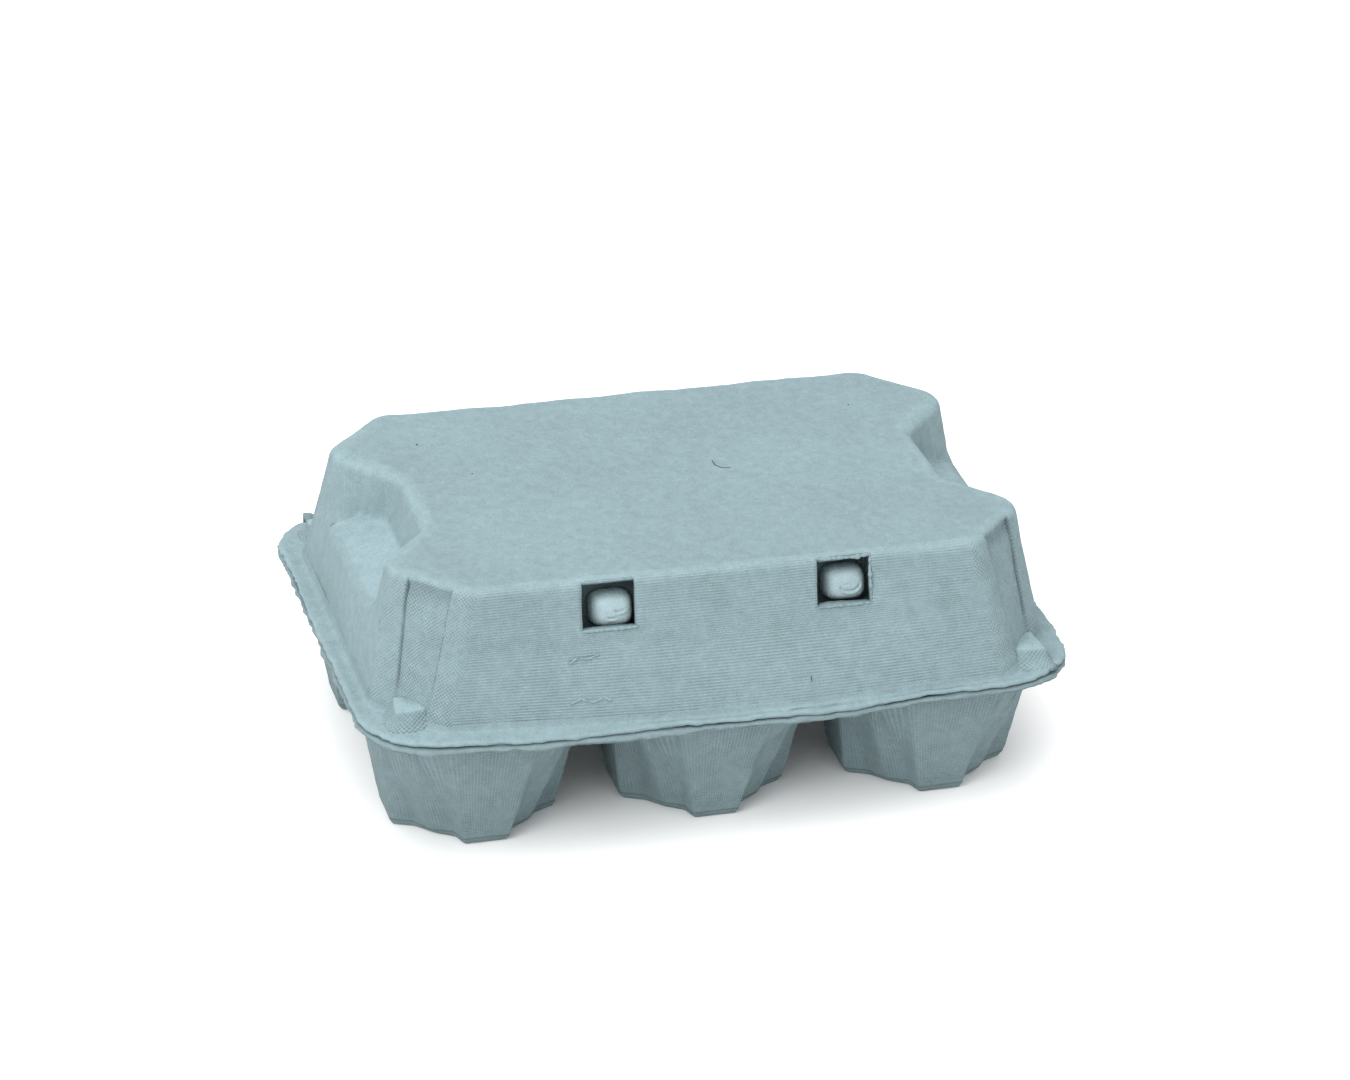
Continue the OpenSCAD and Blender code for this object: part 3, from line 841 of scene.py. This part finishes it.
def triangulated(outer, holes, spacing):
    """Points and triangles of a flat sheet with holes. The loops' own points come first, in order."""
    loops = [outer, *holes]
    low, high = outer.min(axis=0), outer.max(axis=0)
    xs, ys = (np.arange(low[k], high[k], spacing) for k in range(2))
    grid = np.stack(np.meshgrid(xs, ys), axis=-1).reshape(-1, 2)
    grid[:, 0] += spacing / 2 * (np.round((grid[:, 1] - low[1]) / spacing) % 2)
    centre = outer.mean(axis=0)
    near = inside(grid, centre + (outer - centre) * 0.985)
    for hole in holes:
        middle = hole.mean(axis=0)
        margin = 1 + 0.5 * spacing / abs(hole - middle).max()
        near &= ~inside(grid, middle + (hole - middle) * margin)
    points = np.concatenate([*loops, grid[near]])
    edges, start = [], 0
    for loop in loops:
        n = len(loop)
        edges += [(start + i, start + (i + 1) % n) for i in range(n)]
        start += n
    flat = [Vector(p) for p in points.tolist()]
    _, _, faces, origin, _, _ = delaunay_2d_cdt(flat, edges, [], 0, 1e-6)
    source = np.array([o[0] for o in origin])
    triangles = source[np.array(faces)]
    middle = points[triangles].mean(axis=1)
    keep = inside(middle, outer)
    for hole in holes:
        keep &= ~inside(middle, hole)
    return points, triangles[keep]


# ---- Egg cups ----

CUP_HALF = (cup_high[0] - cup_low[0]) / 2
CUP_TOP = cup_high[2]
LIP = 1.25
LIP_TURNS = np.radians([15, 35, 55, 75, 90])
CUP_CORNER_STEPS = 4
CUP_GAPS = (4, 3, 5, 5, 3, 4)
# Corners (x, y, how far they are rounded) of a quarter of the cup, at its floor and at its mouth.
CUP_FLOOR = np.array([
    (17.7, 5.3, 0.6), (13.2, 7.4, 0.5), (9.9, 10.9, 0.8), (5.9, 13.5, 0.5), (4.6, 16.9, 0.6),
])
CUP_MOUTH = np.array([
    (CUP_HALF, 9.6, 1.6),
    (CUP_HALF - 1.5, CUP_HALF - 7.8, 3.4),
    (CUP_HALF - 4.2, CUP_HALF - 4.2, 2.0),
    (CUP_HALF - 7.8, CUP_HALF - 1.5, 3.4),
    (9.6, CUP_HALF, 1.6),
])
FLUTES = (1, 3)
DISH = 0.35
FOOT_SHADE_Z = 1.6


def cup_quarter(rise):
    """A quarter of a cup's outline: side lobe, valley, diagonal face, valley, front lobe."""
    corners = mix(CUP_FLOOR, CUP_MOUTH, rise)
    for flute in FLUTES:
        corners[flute] = mix(CUP_FLOOR[flute], CUP_MOUTH[flute], rise**1.35)
    corners[:, 2] = mix(CUP_FLOOR[:, 2], CUP_MOUTH[:, 2], rise**2)
    return rounded_chain((corners[0, 0], 0), corners, (0, corners[-1, 1]), CUP_CORNER_STEPS, CUP_GAPS)


def cup_outline(z, out=0.0):
    """The cup's flat outline at a height, moved outwards."""
    ring = full_ring(cup_quarter(ramp(0, CUP_TOP, z) ** 0.86))
    return ring * (1 + out / np.linalg.norm(ring, axis=1))[:, None]


def cup_face(floor, shares, toe, wall, inset, roll):
    """Rings of a cup's outer or inner face: floor, toe (up, outwards), wall and rolled lip."""
    rings = [at_height(cup_outline(0.0, -1.0) * share, floor + DISH * (1 - share)) for share in shares]
    rings += [at_height(cup_outline(0.0, step), floor + up) for up, step in toe]
    rings += [at_height(cup_outline(z, -inset), z) for z in wall]
    for turn in LIP_TURNS:
        lip = cup_outline(wall[-1], roll * (1 - math.cos(turn)) - inset)
        rings.append(at_height(lip, wall[-1] + roll * math.sin(turn)))
    return rings


def build_cup(node, seed):
    low, high = box_mm(node)
    centre = (low + high)[:2] / 2
    skin = Skin()
    thick = PULP + LIP - 0.1
    inner_top = PARTING_Z - 0.16 - thick
    outer_wall = np.r_[1.1, 1.35, 1.6, 1.85, 2.1, np.linspace(3, CUP_TOP - LIP, 25)]
    outer_toe = ((0.0, -1.1), (0.08, -0.55), (0.4, -0.16), (0.85, -0.02))
    outer = cup_face(0.0, (0.12, 0.3, 0.5, 0.7, 0.87), outer_toe, outer_wall, 0.0, LIP)
    inner_wall = np.linspace(3, inner_top, 18)
    inner_toe = ((0.05, -2.3), (0.35, -1.7))
    inner = cup_face(PULP, (0.12, 0.3, 0.5, 0.7, 0.85), inner_toe, inner_wall, PULP, thick)
    inner.append(at_height(cup_outline(inner_top, LIP + 0.1), inner_top + thick - 0.24))

    def add(rings, side):
        rings = np.array(rings)
        z = rings[:, :, 2].mean(axis=1)
        rings[:, :, :2] += centre
        marks = plateau((1, 4), (26, 29), z)[:, None] * [0.85, 0.80, 0.0]
        # Painted shade: a thin dark line round the outside, just above the foot.
        shade = 0.8 * bell(FOOT_SHADE_Z, 0.22, z)[:, None] if side > 0 else 0.0
        return add_rings(skin, rings, marks[:, None], 0.0, shade, flip=side < 0, side=side)

    index_out, index_in = add(outer, 1), add(inner, -1)
    for index, floor, side in ((index_out, 0.0, 1), (index_in, PULP, -1)):
        skin.fan(index[0], [*centre, floor + DISH], side > 0, side)
    bridge(skin, index_out[-1], index_in[-1])
    skin.stand_for(node, "tray", "tray_pulp", bump=1.15, seed=seed)


CUP_NODES = [n for n in ALL_NODES if n.startswith("egg_cup")]
for number, cup_node in enumerate(CUP_NODES):
    build_cup(cup_node, 60 + 7 * number)

# ---- Tray deck, posts and hinge fold ----

POST_X = (post_low[0] + post_high[0]) / 2
POST_BASE = (post_high[0] - post_low[0]) / 2
POST_TOP = 4.0
POST_CROWN = 0.07
POST_CROWN_ROUND = 1.9
POST_FOOT_WIDE = 1.7
POST_FOOT_HIGH = 2.2
POST_TURN = full_turn(56)
POST_ROUND = unit_circle(POST_TURN)
DECK_SPACING = 2.4
SPLIT_ROW = 3
CURL = math.radians(150)
CURL_CORE = 0.30
CURL_TAIL = 1.75
FOLD_END_THICKER = 0.45
FOLD_END_LIFT = 0.9


def build_tray_deck():
    skin = Skin()
    rim = rim_ring(REAR_EDGE + 0.6)
    out = outwards(rim)
    front = smooth(30, 5, rim[:, 0]) * smooth(-45, -50, rim[:, 1])
    push = ragged(rim, 41, DECK_RAGGED) + DECK_PROUD + DECK_PROUD_AT_FRONT * front
    drop = rim_lift(rim) - DECK_GAP + 0.04 * flat_waves(rim, 12.0, 45) + 0.05 * flat_waves(rim, 3.5, 46)
    top = PARTING_Z - 0.1
    holes = []
    for node in CUP_NODES:
        low, high = box_mm(node)
        holes.append((low + high)[:2] / 2 + cup_outline(CUP_TOP, LIP - 0.55))
    for x in (-POST_X, POST_X):
        holes.append(POST_ROUND * (POST_BASE - PULP) + [x, 0])
    edge = rim + out * push[:, None]
    points, triangles = triangulated(edge + out * EDGE_SECTION[0][0], holes, DECK_SPACING)
    rim_count, inner_end = len(rim), len(rim) + sum(len(hole) for hole in holes)
    sheets = []
    # The top sheet has no shade; the underside gets painted shade.
    for z, shade, side in ((top, 0.0, 1), (DECK_Z - 0.1, 0.8, -1)):
        sheet = at_height(points, z)
        sheet[:rim_count, 2] += drop
        if side > 0:
            sheet[rim_count:inner_end, 2] -= 0.2
        order = triangles[:, ::side]
        start = skin.add_points(sheet, (0.10, 0.10, 0.0), shade=shade, side=side)
        skin.add_faces(start + order, points[order])
        sheets.append(start)
    rings = [at_height(edge + out * step, top + drop + fall * 0.97) for step, fall in EDGE_SECTION[1:-1]]
    # Painted shade along a split in the lower ply's edge, in broken lengths.
    split_shade = np.zeros((len(rings), rim_count))
    split_shade[SPLIT_ROW] = 0.9 * smooth(-0.4, 0.5, flat_waves(rim, 9.0, 47))
    around = add_rings(skin, rings, (0.05, 0.1, 0.0), 0.3, split_shade, flip=True)
    bridge(skin, sheets[0] + np.arange(rim_count), around[0], flip=True)
    bridge(skin, around[-1], sheets[1] + np.arange(rim_count), flip=True)
    first = rim_count
    for hole in holes:
        loop = first + np.arange(len(hole))
        bridge(skin, sheets[0] + loop, sheets[1] + loop)
        first += len(hole)
    skin.stand_for("tray_deck", "tray", "tray_pulp", bump=0.8)


build_tray_deck()


def build_post(node):
    """A hollow post, slightly squared, which flares into the deck and has a round top."""
    low, high = box_mm(node)
    centre = (low + high)[:2] / 2
    top = high[2]
    span = top - PARTING_Z
    crown = span * POST_CROWN
    skin = Skin()

    def ring(radius, z):
        return at_height(centre + POST_ROUND * radius * (1 + 0.03 * np.cos(4 * POST_TURN))[:, None], z)

    def side_ring(share, inset=0.0):
        return ring(mix(POST_BASE, POST_TOP, share) - inset, PARTING_Z + span * share)

    outer = []
    for share in np.linspace(0, 1, 6):
        foot = POST_BASE + POST_FOOT_WIDE * (1 - share) ** 2
        outer.append(ring(foot, PARTING_Z - 0.1 + POST_FOOT_HIGH * share**2))
    outer += [side_ring(share) for share in np.linspace(0.12, 1 - POST_CROWN, 16)]
    for turn in np.radians([25, 50, 70, 90]):
        radius = mix(POST_TOP, POST_BASE, POST_CROWN) - POST_CROWN_ROUND * (1 - math.cos(turn))
        outer.append(ring(radius, top - crown + crown * math.sin(turn)))
    outer += [ring(radius, top) for radius in (1.2, 0.5)]
    inner = [ring(POST_BASE - PULP, z) for z in (DECK_Z, PARTING_Z)]
    inner += [side_ring(share, PULP) for share in np.linspace(0.06, 0.9, 10)]
    inner += [ring(radius, top - PULP) for radius in (1.6, 0.6)]
    index_out = add_rings(skin, outer, (0.3, 0.3, 0.0))
    index_in = add_rings(skin, inner, (0.2, 0.2, 0.0), flip=True, side=-1)
    skin.fan(index_out[-1], [*centre, top])
    skin.fan(index_in[-1], [*centre, top - PULP], True, -1)
    bridge(skin, index_out[0], index_in[0], flip=True)
    skin.stand_for(node, "tray", "tray_pulp", bump=0.8)


for post_side in ("left", "right"):
    build_post("support_post_" + post_side)


def build_hinge_fold():
    """A strip that curls round the hinge line, from under the tray's edge to over the lid's flange."""
    skin = Skin()
    xs = np.linspace(-HINGE_HALF - 1.5, HINGE_HALF + 1.5, 190)
    unit = unit_circle(np.linspace(-CURL, CURL, 17))
    swell = 0.07 * line_waves(xs, 7.0, 77) + 0.05 * line_waves(xs, 2.2, 78)
    sections = []
    for x, extra in zip(xs, swell):
        raised = float(smooth(HINGE_HALF - 2.0, HINGE_HALF + 0.5, abs(x)))
        radius = HINGE_RADIUS + extra + FOLD_END_THICKER * raised
        outer = [[-CURL_TAIL, -0.95], *(unit * radius), [-CURL_TAIL, 0.95]]
        inner = [[-CURL_TAIL, 0.25], *(unit[::-1] * CURL_CORE), [-CURL_TAIL, -0.25]]
        loop = np.array(outer + inner)
        loop[:, 1] += raised * FOLD_END_LIFT * smooth(-0.6, 0.8, loop[:, 1])
        sections.append(np.column_stack([np.full(len(loop), x), loop + [HINGE_Y, PARTING_Z]]))
    add_sweep(skin, sections, (0.0, 0.3, 0.0), 0.25)
    piece = skin.stand_for("lid_hinge_fold", None, "tray_pulp", bump=0.4)
    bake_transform(piece)


build_hinge_fold()

# ---- Stacking lugs ----

LUG_DEPTH = 0.95
LUG_BEND = np.linspace(-1, 1, 27)


def build_lug(node):
    """A small kite-shaped ledge in a corner of the lid, on a face that flares down to the flange."""
    low, high = box_mm(node)
    sign = np.sign((low + high)[:2])
    ledge = high[2]
    out = sign / math.sqrt(2)
    along = np.array([-out[1], out[0]])
    skin = Skin()

    def wall_middle(z):
        _, (_, _, side, front) = lid_corners(z, 0.0)
        return (side + front) / 2 * sign

    reach_from = wall_middle(ledge)

    def section(z, half, reach, point):
        in_wall = wall_middle(z) - out * LUG_DEPTH
        depth = (in_wall - reach_from) @ out
        away = np.maximum(reach * (1 - abs(LUG_BEND) ** point), depth + 0.05)
        front_edge = reach_from + along * (LUG_BEND * half)[:, None] + out * away[:, None]
        back = in_wall + along * (LUG_BEND[::-1] * half * 0.96)[:, None]
        return at_height(np.vstack([front_edge, back]), z)

    flare = ((-0.3, 6.6, 7.6, 1.7), (0.25, 5.9, 6.6, 1.7), (0.9, 5.2, 5.9, 1.6))
    face = ((-1.8, 4.5, 5.4, 1.4), (-0.7, 4.1, 5.1, 1.15), (-0.25, 3.9, 4.9, 1.15), (-0.08, 3.75, 4.6, 1.15))
    crest = ((0.02, 3.5, 3.8, 1.15), (0.25, 3.0, 1.8, 1.15), (0.6, 1.6, 0.4, 1.15))
    rings = [section(FLANGE_Z + up, *shape) for up, *shape in flare]
    rings += [section(ledge + up, *shape) for up, *shape in face + crest]
    rings = np.array(rings)
    z = rings[:, :1, 2]
    weave = 0.9 * (1 - smooth(ledge - 0.4, ledge, z))[:, :, None] * [0, 0, 1]
    rings = lid_skew(rings.reshape(-1, 3)).reshape(rings.shape)
    # Painted highlight along the top of the ledge.
    add_sweep(skin, rings, weave, 2.0 * bell(ledge + 0.05, 0.3, z))
    skin.stand_for(node, "lid", "lid_pulp", bump=0.8)


for lug_node in [n for n in ALL_NODES if n.startswith("stacking_lug")]:
    build_lug(lug_node)

# ---- Latch flap ----

BEAD = (bead_high[2] - bead_low[2]) / 2
BEAD_Y, BEAD_Z = (bead_low[1:] + bead_high[1:]) / 2
LEAN = math.radians(13.8)
FLAP_HALF = bead_high[0]
FLAP_SLOPE = 7.0
FLAP_TOP_HALF = FLAP_HALF - FLAP_SLOPE
FLAP_HEIGHT = (TOP_Z - 2.5 - BEAD_Z) / math.cos(LEAN)
SHOULDER = 4.0
PANEL_ROWS = 22
BUTTON_HALF = (4.7, 3.7)
BUTTON_UP = FLAP_HEIGHT - 4.5
BUTTON_REACH = 3.8
BUTTON_SQUARE = 3.4
BUTTON_DOME = 0.42
BUTTON_SHIFT = {"latch_button_left": (1.7, -1.9), "latch_button_right": (1.3, -1.5)}
MOAT_DEPTH = 2.4
MOAT_SHADE = 0.75
# Curved wrinkles of each button: x, up, radius, first angle, last angle, depth.
WRINKLES = {
    "latch_button_left": ((0.9, 3.0, 3.2, 246, 306, 0.38), (-0.4, 1.9, 3.4, 244, 288, 0.36)),
    "latch_button_right": ((0.6, 1.3, 2.7, 208, 338, 0.40), (-0.2, 4.6, 4.6, 258, 286, 0.26)),
}


def on_flap(x, forward, up):
    """Points on the leaning flap: forward is out of its front, and up runs along it from its hinge line."""
    y = BEAD_Y - forward * math.cos(LEAN) + up * math.sin(LEAN)
    z = BEAD_Z + forward * math.sin(LEAN) + up * math.cos(LEAN)
    return np.column_stack(np.broadcast_arrays(np.asarray(x, float), y, z))


def build_latch_strip():
    """The strip that the flap folds up from, with an uneven front edge."""
    skin = Skin()
    xs = np.linspace(strip_low[0], strip_high[0], 150)
    front = strip_low[1] - 0.55 + 0.30 * line_waves(xs, 16.0, 91) + 0.10 * line_waves(xs, 3.0, 92)
    lift = 0.10 * line_waves(xs, 9.0, 93)
    back, low, high = strip_high[1], strip_low[2], strip_high[2] - 0.04
    sections = []
    for x, y, up in zip(xs, front, lift):
        loop = [(y, low + 0.3 + up), (y + 0.12, low + up), (y + 0.6, low + up * 0.5), (back, low)]
        loop += [(back, high), (y + 0.6, high + up * 0.5), (y + 0.12, high + up), (y, high - 0.25 + up)]
        sections.append([(x, *p) for p in loop])
    add_sweep(skin, sections, (0.1, 0.0, 0.0), 0.2)
    skin.stand_for("latch_fold_strip", "tray", "latch_pulp", bump=0.3)


def button_centre(node):
    """Where a button's middle is on the flap, across and up."""
    low, high = box_mm(node)
    across, up = BUTTON_SHIFT[node]
    return (low[0] + high[0]) / 2 + across, BUTTON_UP + up


def moat(x, up):
    """How far the panel sinks back round each button, from 0 to 1."""
    sink = 0.0
    for node in BUTTON_SHIFT:
        centre = button_centre(node)
        away = np.maximum(abs(x - centre[0]) - 4.0, abs(up - centre[1]) - 3.6)
        sink = sink + 1 - smooth(2.6, 6.0, away)
    return sink


def panel_height(x):
    """The panel's height at x: level, with rounded shoulders, and sloping down to nothing at its ends."""
    over = abs(x) - FLAP_TOP_HALF
    if over > 0:
        return max((FLAP_HEIGHT - SHOULDER) * (1 - over / FLAP_SLOPE), 0.8)
    return FLAP_HEIGHT - SHOULDER * float(smooth(-4.0, 0.0, over))


def build_latch_panel():
    skin = Skin()
    slope = FLAP_SLOPE * np.linspace(0, 1, 9)
    level = np.linspace(-FLAP_TOP_HALF, FLAP_TOP_HALF, 110)
    front = np.r_[np.full(PANEL_ROWS, BEAD), BEAD - 0.2, BEAD - 0.5]
    back = np.r_[BEAD - 1.2, np.full(PANEL_ROWS, BEAD - PULP)]
    faces_out = np.r_[np.ones(len(front)), np.zeros(len(back))]
    sections, shades = [], []
    for x in np.r_[slope[:-1] - FLAP_HALF, level, FLAP_TOP_HALF + slope[1:]]:
        height = panel_height(x)
        rows = np.linspace(0.2, height - 0.45, PANEL_ROWS)
        up = np.r_[rows, height - 0.12, height, height - 0.12, rows[::-1]]
        sunk = moat(x, up)
        sections.append(on_flap(x, np.r_[front, back] - MOAT_DEPTH * sunk, up))
        # Painted shade in the sunken moat round each button, on the front face only.
        shades.append(MOAT_SHADE * sunk * faces_out)
    add_sweep(skin, sections, (0.4, 0.4, 0.0), 0.0, shades)
    skin.stand_for("latch_panel", "latch_flap", "latch_pulp", bump=0.35)


def build_latch_bead():
    skin = Skin()
    xs = np.linspace(-FLAP_HALF, FLAP_HALF, 120)
    turn = full_turn(20)[::-1]
    radius = BEAD * (1 + 0.05 * line_waves(xs, 5.0, 97))
    sections = [on_flap(x, -r * np.sin(turn), r * np.cos(turn)) for x, r in zip(xs, radius)]
    add_sweep(skin, sections, (0.2, 0.0, 0.0))
    skin.stand_for("latch_hinge_bead", "latch_flap", "latch_pulp", bump=0.3)


def wrinkle(flat, x, up, radius, start, stop, depth):
    """How deep one curved wrinkle is at flat points on a button, with a slight swelling outside it."""
    away = flat - [x, up]
    angle = np.degrees(np.arctan2(away[:, 1], away[:, 0])) % 360
    along = plateau((start, start + 18), (stop - 18, stop), angle)
    gap = np.hypot(*away.T) - radius
    return along * depth * (bell(0, 0.22, gap) - 0.5 * bell(0.45, 0.24, gap))


def build_button(node):
    """A pillow-shaped button with curved wrinkles, on the sunken part of the panel."""
    centre = button_centre(node)
    skin = Skin()
    unit = unit_circle(full_turn(112))
    outline = BUTTON_HALF * np.sign(unit) * abs(unit) ** (2 / BUTTON_SQUARE)
    rings = []
    for share in np.r_[1.0, 0.995, 0.98, 0.955, np.linspace(0.92, 0.06, 28)]:
        flat = outline * share
        height = mix(BEAD - MOAT_DEPTH - 0.3, BUTTON_REACH, (1 - share**5) ** BUTTON_DOME)
        height = height - sum(wrinkle(flat, *shape) for shape in WRINKLES[node])
        rings.append(on_flap(centre[0] + flat[:, 0], height, centre[1] + flat[:, 1]))
    # The button is paler all over, as painted light, and its look is a lighter copy of the pulp, painted
    # light as well.
    add_sweep(skin, rings, (0.15, 0.15, 0.0), 1.2)
    skin.stand_for(node, "latch_flap", "latch_pulp", bump=0.5, look="lit_button_pulp")


build_latch_strip()
build_latch_panel()
build_latch_bead()
for button_node in WRINKLES:
    build_button(button_node)

# ---- Torn edges, creases and stray fibres on the lid ----

WALL_OUT = np.array([0.0, -0.975, 0.22])
STRAND_STEP = 0.22


def on_front_wall(points):
    """Moves points (x, z) in millimetres onto the outer face of the lid's front wall."""
    x, z = np.asarray(points, float).T
    half = np.array([lid_corners(height, 0.0)[0][1] for height in z])
    over = ramp(TOP_Z - RIDGE, TOP_Z, z)
    y = RIDGE * (1 - np.sqrt(1 - over**2)) - half
    return settle(lid_skew(np.column_stack([x, y, z])))


def nearest_on_lid(line):
    """The nearest points on the lid's skin to a line's points, and the skin's normals there."""
    found = [lid_shell.closest_point_on_mesh(Vector(point * MM)) for point in line]
    return np.array([hit[1] for hit in found]) / MM, np.array([hit[2] for hit in found])


def strand(name, path, radius, torn=0.0, look=None, paling_and_painted_light=0.5, seed=0, out=None):
    """A thin strand or torn lip along a path, on the lid's skin unless out says which way it faces."""
    path = np.asarray(path, float)
    run = run_along(path)
    steps = np.linspace(0, run[-1], max(int(run[-1] / STRAND_STEP), 5))
    spots = np.column_stack([np.interp(steps, run, path[:, k]) for k in range(3)])
    if out is None:
        spots, normals = nearest_on_lid(spots)
    else:
        normals = np.tile(out, (len(spots), 1))
    taper = np.minimum(smooth(0, 0.12, steps / run[-1]), 1 - smooth(0.88, 1, steps / run[-1]))
    thick = radius * (0.35 + 0.65 * taper) * (1 + torn * waves(spots, 1.3, seed + 3))
    thick = np.maximum(thick, 0.25 * radius)
    along = np.gradient(spots, axis=0)
    along /= np.linalg.norm(along, axis=1)[:, None]
    across = np.cross(normals, along)
    lift = 0.25 * thick + 0.5 * torn * radius * smooth(0, 1, waves(spots, 2.4, seed))
    turn = full_turn(8)[::-1, None]
    middles = spots + normals * lift[:, None]
    parts = zip(middles, thick, across, normals)
    rings = [middle + r * (a * np.cos(turn) + n * np.sin(turn)) for middle, r, a, n in parts]
    skin = Skin()
    add_sweep(skin, rings, (0, 0, 0), paling_and_painted_light)
    skin.build(name, "lid", "lid_pulp", look)


def build_torn_windows():
    """Torn pulp round the windows: a folded lip below each and fibres above, and beside the right one."""
    low, high = WINDOW_Z
    near, far = WINDOW_X
    far_side = [(far + 0.05, low + 0.6), (far - 0.15, high - 3), (far + 0.1, high)]
    edges = (
        ("left_lip", [(-far - 0.3, low - 0.05), (0.5 - near, low)], 0.34, 0.3, 10),
        ("left_top", [(-far - 0.1, high), (0.1 - near, high)], 0.12, 0.8, 20),
        ("right_lip", [(near - 0.4, low), (far + 0.3, low + 0.05)], 0.20, 0.5, 12),
        ("right_top", [(near - 0.3, high), (far - 3, high - 0.25), (far + 0.2, high)], 0.32, 0.6, 22),
        ("right_far_side", far_side, 0.3, 0.6, 32),
    )
    for name, path, radius, torn, seed in edges:
        strand("window_" + name, on_front_wall(path), radius, torn, paling_and_painted_light=0.2, seed=seed, out=WALL_OUT)


def build_stray_marks():
    """Two creases and a brown speck on the front wall, and a hair and three specks on the top."""
    upper = on_front_wall([(-34.4, 43.6), (-32.4, 44.9), (-30.3, 44.5), (-27.6, 45.2)])
    lower = on_front_wall([(-34.3, 36.0), (-31.9, 36.9), (-29.3, 36.1), (-27.2, 36.9), (-24.8, 36.0)])
    strand("wall_crease_upper", upper, 0.20, 0.5, out=WALL_OUT)
    strand("wall_crease_lower", lower, 0.24, 0.6, out=WALL_OUT)
    above = TOP_Z + 1.0
    start, bend, end = np.array([(10.6, 5.5, above), (9.9, 0.6, above), (13.6, 1.1, above)])
    t = np.linspace(0, 1, 14)[:, None]
    hair = start * (1 - t) ** 2 + bend * 2 * t * (1 - t) + end * t**2
    strand("dark_hair", hair, 0.09, 0.1, "dark_fibre", 0)
    for number, (x, y, size) in enumerate([(-49.7, 25.6, 0.2), (47.3, 25.2, 0.16), (-41.4, 9.7, 0.14)]):
        path = [(x, y, above), (x + size, y + size, above)]
        strand(f"dark_speck_{number}", path, size, 0.2, "dark_fibre", 0)
    speck = on_front_wall([(17.2, 37.3), (17.3, 36.2)])
    strand("brown_speck", speck, 0.18, 0.4, "brown_fleck", 0, out=WALL_OUT)


build_torn_windows()
build_stray_marks()

# ---- Camera, floor and light ----

VIEW_AZIMUTH = math.radians(16.566)
VIEW_ELEVATION = math.radians(27.519)
VIEW_ROLL = math.radians(2.066)
VIEW_LENS = 135.75
SENSOR_WIDTH = 36.0
VIEW_DISTANCE = 1095.85
VIEW_TARGET = np.array([0.0, 0.0, 36.46])
VIEW_OFFSET = (1.51, 7.21)
FLOOR_HALF = 6.0
FLOOR_WHITE = 0.94
LIGHT_TARGET = Vector((0, 0, 0.03))


def make_camera():
    """A long lens from the front left, above the carton."""
    az, el = VIEW_AZIMUTH, VIEW_ELEVATION
    ahead = np.array([math.sin(az) * math.cos(el), math.cos(az) * math.cos(el), -math.sin(el)])
    level = np.array([math.cos(az), -math.sin(az), 0.0])
    upright = np.cross(level, ahead)
    right = level * math.cos(VIEW_ROLL) + upright * math.sin(VIEW_ROLL)
    up = upright * math.cos(VIEW_ROLL) - level * math.sin(VIEW_ROLL)
    place = VIEW_TARGET - ahead * VIEW_DISTANCE + right * VIEW_OFFSET[0] + up * VIEW_OFFSET[1]
    data = bpy.data.cameras.new("camera")
    data.lens = VIEW_LENS
    data.sensor_width = SENSOR_WIDTH
    camera = add_object("camera", data)
    rows = np.column_stack([right, up, -ahead, place * MM]).tolist()
    camera.matrix_world = Matrix([*rows, [0, 0, 0, 1]])
    bpy.context.scene.camera = camera


def area_light(name, place, size, power):
    """A soft round light at a place in metres, aimed at the carton."""
    data = bpy.data.lights.new(name, "AREA")
    data.shape = "DISK"
    data.size = size
    data.energy = power
    lamp = add_object(name, data)
    lamp.location = place
    lamp.rotation_mode = "QUATERNION"
    lamp.rotation_quaternion = (LIGHT_TARGET - Vector(place)).to_track_quat("-Z", "Y")


def make_floor():
    corners = [(x * FLOOR_HALF, y * FLOOR_HALF, 0) for x, y in ((-1, -1), (1, -1), (1, 1), (-1, 1))]
    mesh = bpy.data.meshes.new("floor")
    mesh.from_pydata(corners, [], [(0, 1, 2, 3)])
    material, shader = new_material("white_table")
    shader.inputs["Base Color"].default_value = (FLOOR_WHITE, FLOOR_WHITE, FLOOR_WHITE, 1)
    shader.inputs["Roughness"].default_value = 0.9
    shader.inputs["Specular IOR Level"].default_value = 0.1
    mesh.materials.append(material)
    add_object("floor", mesh)


def make_world(strength):
    """Even white light from all sides."""
    world = bpy.data.worlds.new("studio")
    bpy.context.scene.world = world
    world.use_nodes = True
    sky = world.node_tree.nodes["Background"]
    sky.inputs["Color"].default_value = (1, 1, 1, 1)
    sky.inputs["Strength"].default_value = strength


make_camera()
make_floor()
make_world(1.05)
area_light("key_left", (-1.1, -0.75, 1.1), 1.1, 10.5)
area_light("top_box", (-0.15, 0.0, 1.6), 1.5, 15.0)
area_light("front_fill", (-0.65, -0.75, 0.85), 0.6, 3.6)
bpy.context.scene.view_settings.view_transform = "Standard"
